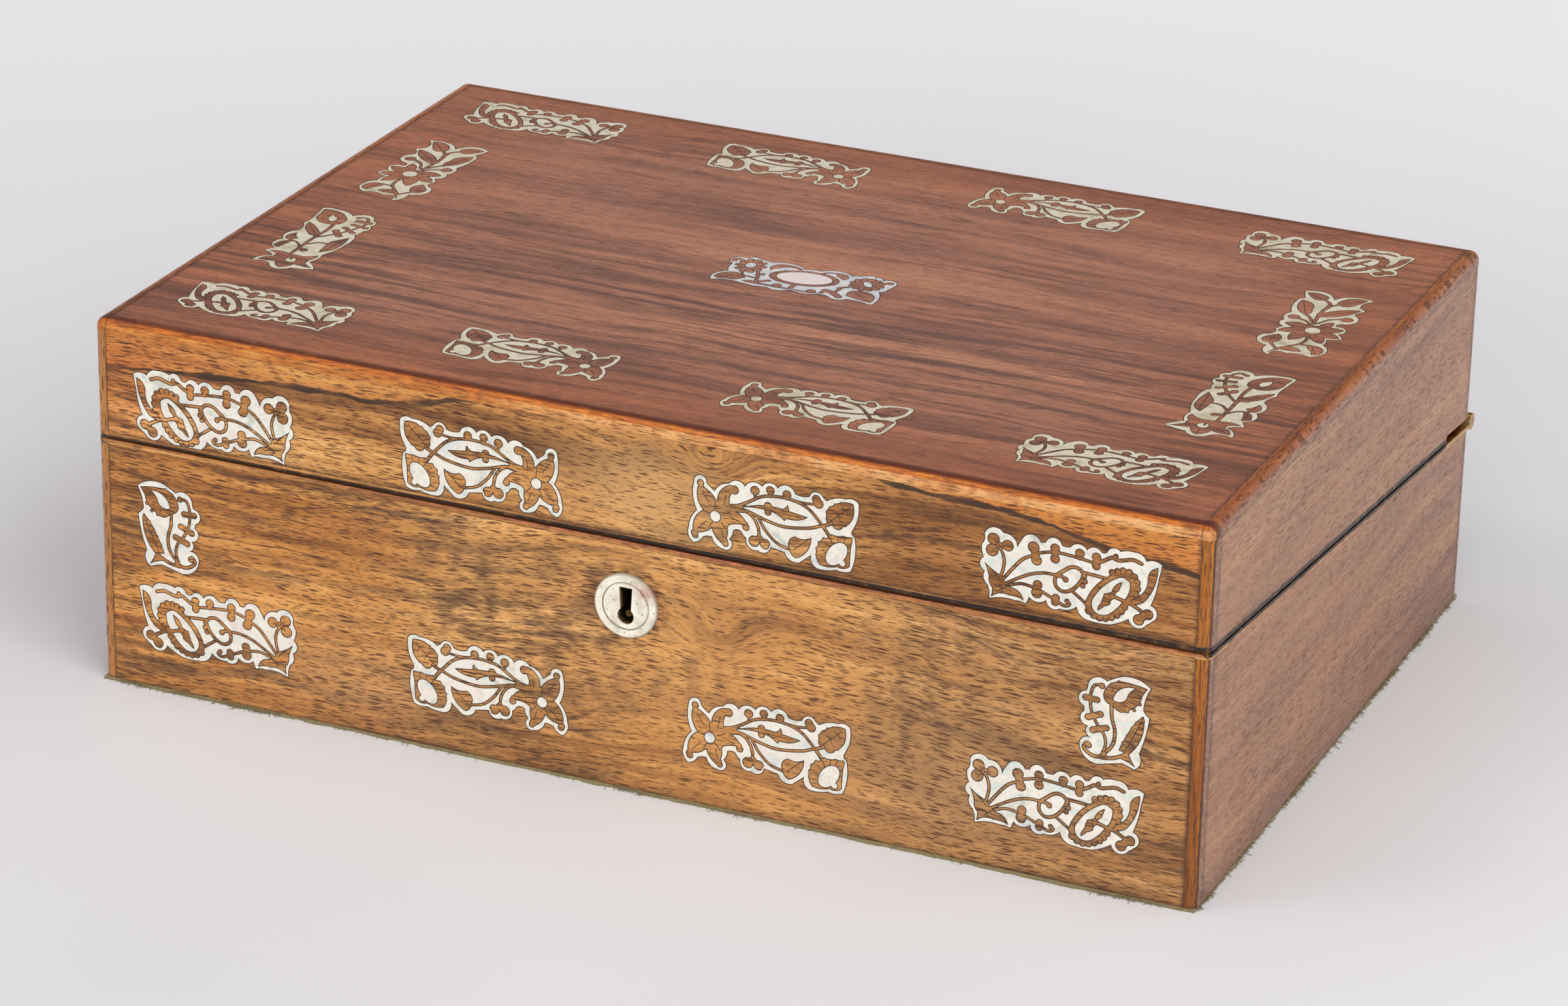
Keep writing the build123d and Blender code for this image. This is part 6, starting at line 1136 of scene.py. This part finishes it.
def contours(x, y, f):
    """Closed loops where the field f crosses zero on its grid."""
    f = np.where(np.abs(f) < 1e-5, 1e-5, f)
    cols = f.shape[1]

    def crossing(k0, k1):
        p, q = divmod(k0, cols), divmod(k1, cols)
        t = f[p] / (f[p] - f[q])
        return x[p] + t * (x[q] - x[p]), y[p] + t * (y[q] - y[p])

    s = f < 0
    code = s[:-1, :-1] * 1 + s[:-1, 1:] * 2 + s[1:, 1:] * 4 + s[1:, :-1] * 8
    after = {}
    # each case joins cell edges: 0 low, 1 right, 2 high, 3 left, with the inside on the left hand
    cases = {1: [(0, 3)], 2: [(1, 0)], 3: [(1, 3)], 4: [(2, 1)], 5: [(0, 3), (2, 1)], 6: [(2, 0)], 7: [(2, 3)],
             8: [(3, 2)], 9: [(0, 2)], 10: [(1, 0), (3, 2)], 11: [(1, 2)], 12: [(3, 1)], 13: [(0, 1)], 14: [(3, 0)]}
    for r, c in zip(*np.nonzero((code > 0) & (code < 15))):
        k = int(r) * cols + int(c)
        edges = ((k, k + 1), (k + 1, k + cols + 1), (k + cols, k + cols + 1), (k, k + cols))
        for a, b in cases[int(code[r, c])]:
            after[edges[a]] = edges[b]
    loops = []
    while after:
        first = start = next(iter(after))
        loop = []
        while start in after:
            loop.append(crossing(*start))
            start = after.pop(start)
        if len(loop) > 7 and start == first:
            loops.append(np.array(loop))
    return loops


def thin_out(loop, tolerance):
    """Drops the points of a closed loop that its neighbours' line already passes."""
    n = len(loop)
    keep = np.zeros(n, bool)
    far = int(np.argmax(((loop - loop[0]) ** 2).sum(1)))
    keep[[0, far]] = True
    todo = [(0, far), (far, n)]
    while todo:
        i, j = todo.pop()
        if j - i < 2:
            continue
        a, b = loop[i], loop[j % n]
        d = b - a
        p = loop[i + 1:j] - a
        off = np.abs(p[:, 0] * d[1] - p[:, 1] * d[0]) / (np.linalg.norm(d) + 1e-9)
        k = int(np.argmax(off))
        if off[k] > tolerance:
            keep[i + 1 + k] = True
            todo += [(i, i + 1 + k), (i + 1 + k, j)]
    return loop[keep]


# ---------------------------------------------------------------- pieces made from outlines
def fill(loops, thick):
    """Vertices and faces of a plate cut to closed loops; a loop inside another is a hole."""
    data = bpy.data.curves.new("cut", "CURVE")
    data.dimensions, data.fill_mode, data.extrude = "2D", "BOTH", thick / 2
    for loop in loops:
        s = data.splines.new("POLY")
        s.points.add(len(loop) - 1)
        s.points.foreach_set("co", np.column_stack([loop, np.zeros(len(loop)), np.ones(len(loop))]).ravel())
        s.use_cyclic_u = True
    o = bpy.data.objects.new("cut", data)
    mesh = bpy.data.meshes.new_from_object(o)
    bm = bmesh.new()
    bm.from_mesh(mesh)
    bmesh.ops.remove_doubles(bm, verts=bm.verts, dist=1e-5)
    bmesh.ops.dissolve_degenerate(bm, dist=1e-5, edges=bm.edges)
    bmesh.ops.recalc_face_normals(bm, faces=bm.faces)
    bm.verts.ensure_lookup_table()
    verts = np.array([v.co[:] for v in bm.verts])
    faces = [[v.index for v in f.verts] for f in bm.faces]
    bm.free()
    bpy.data.objects.remove(o)
    bpy.data.curves.remove(data)
    bpy.data.meshes.remove(mesh)
    return verts, faces


def piece(name, parts, mats, body, replaced=(), which=None, smooth=False):
    """One object out of (vertices in mm, faces) parts, riding on a body; which gives each face its material."""
    verts, faces = [], []
    for v, f in parts:
        faces.extend([i + len(verts) for i in face] for face in f)
        verts.extend(v)
    mesh = bpy.data.meshes.new(name)
    mesh.from_pydata((np.array(verts) * MM).tolist(), [], faces)
    for m in mats:
        mesh.materials.append(m)
    if which:
        mesh.polygons.foreach_set("material_index", which)
    mesh.validate()
    mesh.update()
    if smooth:
        mesh.shade_smooth()
    o = link(name, mesh)
    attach(o, body)
    if replaced:
        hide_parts(*replaced)
    return o


def on_front(v, face, thick, x=0.0, z=0.0):
    """Puts a plate on the front, its outer side at y = face."""
    return np.column_stack([v[:, 0] + x, face + thick / 2 - v[:, 2], v[:, 1] + z])


def on_top(v, face, thick, x=0.0, y=0.0):
    """Puts a plate on the top, its outer side at z = face."""
    return np.column_stack([v[:, 0] + x, v[:, 1] + y, face - thick / 2 + v[:, 2]])


def flipped(faces):
    return [f[::-1] for f in faces]


PLATE, FILLING = 0.5, 0.4  # how thick the pearl and the dark filling are, mm
SHELL, DARK = {}, {}
for figure, drawn in FIGURES.items():
    gx, gy, shell, dark = fields(**drawn)
    SHELL[figure] = fill([thin_out(p, 0.012) for p in contours(gx, gy, shell)], PLATE)
    DARK[figure] = fill([thin_out(p, 0.016) for p in contours(gx, gy, dark)], FILLING)

# Where each plate's middle lies on its face, and whether the figure is mirrored.
LID_FRONT = [("corner", False, -135.6, 92.7), ("lens", False, -48.2, 93.5), ("lens", True, 44.5, 94.2),
             ("corner", True, 133.7, 94.5)]
BASE_FRONT = [("corner", False, -135.6, 24.4), ("lens", False, -46.2, 24.8), ("lens", True, 43.8, 24.8),
              ("corner", True, 131.7, 24.8), ("small", False, -151.6, 54.7), ("small", True, 148.6, 54.5)]
LID_TOP = [("corner", False, -134.5, -89.4), ("lens", False, -47.4, -87.9), ("lens", True, 43.5, -88.4),
           ("corner", True, 132.1, -89.0), ("corner", False, -133.2, 94.6), ("lens", False, -45.7, 92.6),
           ("lens", True, 45.1, 94.4), ("corner", True, 132.8, 94.0), ("star", True, -147.4, 35.7),
           ("tulip", True, -147.6, -33.9), ("star", False, 148.8, 35.8), ("tulip", False, 147.9, -33.8),
           ("oval", False, *CENTRE_PLATE)]


def placed(shapes, put, spots, face, thick):
    """One (vertices, faces) part for each spot."""
    out = []
    for figure, mirror, a, b in spots:
        v, f = shapes[figure]
        if mirror:
            v, f = v * (-1, 1, 1), flipped(f)
        out.append((put(v, face, thick, a, b), f))
    return out


for label, body, put, spots, face, inward, node, look in (
        ("lid_front", "lid", on_front, LID_FRONT, -HALF_D, 1, "lid_front_pearl_plates", PEARL_FRONT),
        ("base_front", "base", on_front, BASE_FRONT, -HALF_D, 1, "base_pearl_plates", PEARL_FRONT),
        ("lid_top", "lid", on_top, LID_TOP, TALL, -1, "lid_top_pearl_plates", PEARL_TOP)):
    frets = placed(SHELL, put, spots, face + 0.01 * inward, PLATE)
    piece(label + "_pearl_frets", frets, [look], body, (node,))
    piece(label + "_pearl_mastic", placed(DARK, put, spots, face + 0.03 * inward, FILLING), [MASTIC], body)


# ---------------------------------------------------------------- veneer sheets
def rectangle(x0, x1, y0, y1, step=1000.0, wander=0.0, seed=0):
    """A rectangle's outline, in short steps that wander a little where step is small."""
    rng = np.random.default_rng(seed)
    corners = [(x0, y0), (x1, y0), (x1, y1), (x0, y1)]
    out = []
    for (ax, ay), (bx, by) in zip(corners, corners[1:] + corners[:1]):
        n = max(1, int(hypot(bx - ax, by - ay) / step))
        out += [(ax + (bx - ax) * t, ay + (by - ay) * t) for t in np.arange(n) / n]
    out = np.array(out)
    if wander:
        noise = rng.normal(0, 1, (len(out), 2))
        out += (noise + np.roll(noise, 1, 0) + np.roll(noise, -1, 0)) * wander / 1.7
    return out


turns = 2 * pi * np.arange(64) / 64
hole = np.column_stack([KEYHOLE_X + KEYHOLE_R * np.cos(turns), KEYHOLE_Z + KEYHOLE_R * np.sin(turns)])
VENEER = 1.15  # thickness, mm; the sheets lie 0.05 mm deeper than the pearl
for label, body, put, face, loops in (
        ("lid_top", "lid", on_top, TALL - 0.05, [rectangle(-STRIP_X, STRIP_X, -STRIP_Y, STRIP_Y)]),
        ("lid_front", "lid", on_front, 0.05 - HALF_D, [rectangle(-STRIP_X, STRIP_X, LID_LOW, LID_HIGH)]),
        ("base_front", "base", on_front, 0.05 - HALF_D, [rectangle(-STRIP_X, STRIP_X, BASE_LOW, BASE_HIGH), hole])):
    v, f = fill(loops, VENEER)
    sheet = [(put(v, face, VENEER), f)]
    piece(label + "_veneer_sheet", sheet, [WOODS[label]], body, (label + "_veneer",))


# ---------------------------------------------------------------- baize under the base
def thread(points, r):
    """A thin four-sided tube along some points."""
    pts = np.array(points, float)
    last = len(pts) - 1
    verts, faces = [], []
    for i, q in enumerate(pts):
        d = pts[min(i + 1, last)] - pts[max(i - 1, 0)]
        d /= np.linalg.norm(d) + 1e-9
        a = np.cross(d, (0.13, 0.21, 1.0))
        a /= np.linalg.norm(a) + 1e-9
        b = np.cross(d, a)
        w = r * (1.0 if i < last else 0.45)
        verts += [q + w * (cos(t) * a + sin(t) * b) for t in (0.0, pi / 2, pi, 3 * pi / 2)]
        if i:
            s = 4 * (i - 1)
            faces += [[s + j, s + (j + 1) % 4, s + 4 + (j + 1) % 4, s + 4 + j] for j in range(4)]
    e = 4 * last
    return np.array(verts), faces + [[3, 2, 1, 0], [e, e + 1, e + 2, e + 3]]


rng = np.random.default_rng(11)
deep = HALF_D + 0.2
v, f = fill([rectangle(-HALF_W, HALF_W, -deep, deep, step=1.6, wander=0.22, seed=4)], 1.0)
v[:, 2] += 0.5
v[:, 0] *= np.where(v[:, 2] < 0.5, 1.0, 0.9985)  # a little narrower above than where it touches the floor
cloth = piece("base_baize_cloth", [(v, f)], [BAIZE], "base", ("base_baize",))

hairs = []
# front, right, left and back: axis the hairs point along, where they start on it, length of the edge, their number
for axis, start, span, share in ((Y, -119.9, 346, 1100), (X, 174.8, 236, 760), (X, -174.8, 236, 300),
                                 (Y, 119.9, 346, 360)):
    clumps = rng.uniform(-0.5, 0.5, 9) * span
    for _ in range(share):
        if rng.random() < 0.6:
            s = float(np.clip(rng.choice(clumps) + rng.normal(0, 5.0), -span / 2, span / 2))
        else:
            s = rng.uniform(-0.5, 0.5) * span
        reach = rng.gamma(1.6, 0.32)
        lean, z0, rise = rng.normal(0, 0.8), rng.uniform(0.25, 0.9), rng.uniform(-0.15, 0.35)
        points = []
        for t in (0.0, 0.4, 0.75, 1.0):
            along = s + (t * lean * reach + 0.15 * rng.normal())
            away = start + (1 if start > 0 else -1) * (-0.5 + t * (reach + 0.9))
            z = max(0.12, z0 + rise * t - 0.35 * t * t * reach)
            points.append((away, along, z) if axis == X else (along, away, z))
        hairs.append(thread(points, rng.uniform(0.06, 0.12)))
fray = piece("base_baize_fray", hairs, [BAIZE], "base", ())


# ---------------------------------------------------------------- leathers and pull tabs on the writing flaps
ALONG, OUT = np.array((0, cos(SLOPE), -sin(SLOPE))), np.array((0, sin(SLOPE), cos(SLOPE)))


def on_slope(node):
    """A node's box in the slope's own frame: across, along the slope and out of it, mm."""
    co = np.array([v.co[:] for v in NODES[node].data.vertices]) / MM
    q = np.column_stack([co[:, 0], co @ ALONG, co @ OUT])
    return q.min(0), q.max(0)


def laid(verts, faces, lo, hi, faces_up):
    """Turns a leather with its good side up or down, and takes it from the slope's frame to the box's."""
    q = np.array(verts)
    q[:, 2] = lo[2] + q[:, 2] if faces_up else hi[2] - q[:, 2]
    y, z = (q[:, 1] * ALONG[i] + q[:, 2] * OUT[i] for i in (1, 2))
    v = np.column_stack([q[:, 0], y, z])
    return v, faces if faces_up else flipped(faces)


def tooled_leather(name, node, body, faces_up):
    """A leather panel with a pressed and gilt double border, built from rounded rectangles one inside the other."""
    lo, hi = on_slope(node)
    cx, cy = (lo[0] + hi[0]) / 2, (lo[1] + hi[1]) / 2
    hx, hy, t = (hi[0] - lo[0]) / 2, (hi[1] - lo[1]) / 2, hi[2] - lo[2]
    # how far in, how high as a share of the leather's thickness, and whether gilt from the last one to this one
    steps = [(0.0, 0.0, 0), (0.0, 0.6, 0), (0.35, 0.95, 0), (1.0, 1.0, 0), (7.0, 1.0, 0), (7.15, 0.8, 1),
             (8.35, 0.8, 1), (8.5, 1.0, 0), (10.2, 1.0, 0), (10.3, 0.85, 1), (10.8, 0.85, 1), (10.9, 1.0, 0),
             (14.0, 0.97, 0), (30.0, 1.0, 0)]
    verts, faces, which = [], [], []
    for inset, high, gold in steps:
        r = max(2.2 - inset * 0.05, 1.2)
        ax, ay = hx - inset - r, hy - inset - r
        loop = [(cx + sx * ax + r * cos(radians(a)), cy + sy * ay + r * sin(radians(a)), high * t)
                for sx, sy, a0 in ((1, 1, 0), (-1, 1, 90), (-1, -1, 180), (1, -1, 270))
                for a in range(a0, a0 + 91, 15)]
        n = len(loop)
        if verts:
            s = len(verts) - n
            faces += [[s + i, s + (i + 1) % n, s + n + (i + 1) % n, s + n + i] for i in range(n)]
            which += [gold] * n
        verts += loop
    faces += [list(range(len(verts) - n, len(verts))), list(range(n))[::-1]]
    o = piece(name, [laid(verts, faces, lo, hi, faces_up)], [LEATHER, GILT], body, (node,), which + [0, 0])
    2 * hx * MM
    2 * hy * MM


def pull_tab(name, node, body, faces_up):
    """A short leather tongue, glued at one end, that lifts a little at the other."""
    lo, hi = on_slope(node)
    mid, t = (lo[0] + hi[0]) / 2, hi[2] - lo[2]
    nx, ny = 8, 10
    row = nx + 1
    verts, faces = [], []
    for level in (0.05, 0.8):
        for j in range(ny + 1):
            for i in range(row):
                a, b = i / nx, j / ny
                width = 1.0 - 0.35 * max(0.0, (0.3 - b) / 0.3) ** 2
                cup = 0.12 * sin(pi * a) + 0.18 * (1 - b) ** 2
                verts.append((mid + (lo[0] + (hi[0] - lo[0]) * a - mid) * width, lo[1] + (hi[1] - lo[1]) * b,
                              level * t + cup * t))
    n = row * (ny + 1)
    for j in range(ny):
        for q in range(j * row, j * row + nx):
            faces += [[q, q + row, q + row + 1, q + 1], [n + q, n + q + 1, n + q + row + 1, n + q + row]]
    rim = [*range(nx), *range(nx, n - 1, row), *range(n - 1, n - row, -1), *range(n - row, 0, -row)]
    faces += [[a, b, n + b, n + a] for a, b in zip(rim, rim[1:] + rim[:1])]
    o = piece(name, [laid(verts, faces, lo, hi, faces_up)], [TAB_LEATHER], body, (node,), smooth=True)


for flap, faces_up in (("upper_flap", True), ("lower_flap", False)):
    tooled_leather(flap + "_writing_leather", flap + "_leather", flap, faces_up)
for flap, faces_up in (("upper_flap", True), ("lower_flap", False)):
    pull_tab(flap + "_pull_tab", flap + "_tab", flap, faces_up)


# ---------------------------------------------------------------- floor, light and the end
def add_floor():
    """Pale paper, with painted light and shade: painted darker in front of the box, where the lamps are close, and
    painted whiter to its right and far away.
    """
    k = Look("pale_floor")
    p = k.place()
    soft = k.noise(*scaled(p, 0.004), detail=3)
    colour = k.ramp(soft, (0.3, (225, 224, 226)), (0.7, (230, 229, 232)))
    out = k.op("SQRT", p[0] * p[0] + p[1] * p[1])
    # Painted light: whiter far from the box.
    colour = k.mix(k.step(out + p[1] * 0.6, 250.0, 1200.0), colour, (251, 251, 253))
    # Painted light: whiter to the box's right.
    colour = k.mix(k.step(p[0], 150.0, 420.0, 0.0, 0.8), colour, (249, 249, 252))
    # Painted shade: darker in front of the box, towards the camera.
    colour = k.mix(k.step(p[1], -320.0, -1300.0), colour, (168, 168, 171))
    mesh = bpy.data.meshes.new("floor")
    s = 20.0  # half its side, in metres
    mesh.from_pydata([(-s, -s, 0), (s, -s, 0), (s, s, 0), (-s, s, 0)], [], [(0, 1, 2, 3)])
    mesh.materials.append(k.finish(colour, 0.9, Specular_IOR_Level=0.15))
    link("floor", mesh)


def add_world():
    """Pale all round near the horizon, greyer overhead, with a dim patch behind the box that its polished top
    reflects."""
    world = bpy.data.worlds.new("studio")
    bpy.context.scene.world = world
    world.use_nodes = True
    k = Tree(world.node_tree)
    d = k.node("TexCoord", out="Generated")
    z = k.split("XYZ", d)[2]
    away = k.node("VectorMath", (0, d), (1, towards(203.0, 31.0)), out="Value", operation="DOT_PRODUCT")
    dim = k.step(away, 0.72, 0.93) * k.step(z, 0.12, 0.26)
    level = k.step(z, 0.05, 0.5, 0.9, 0.62) * (1.0 - dim * 0.75)
    seen = k.node("LightPath", out="Is Camera Ray")
    level = level * (1.0 - seen) + seen * 0.82
    grey = k.node("CombineColor", (0, level), (1, level), (2, level))
    light = k.node("Background", (0, k.mix(1.0, grey, (0.985, 0.985, 1.0, 1.0), "MULTIPLY")), (1, 1.0))
    k.node("OutputWorld", (0, light), out=None)


add_floor()
add_world()
add_softbox("key_softbox", 55, 45, 4.2, (2.6, 2.6), 70.0, (1.0, 0.985, 0.96))
add_softbox("front_fill", 5, 18, 3.6, (2.0, 1.2), 31.0, (1.0, 0.98, 0.96))
add_softbox("edge_light", -43, 57, 2.6, (0.7, 0.5), 5.0, (1.0, 0.985, 0.97))
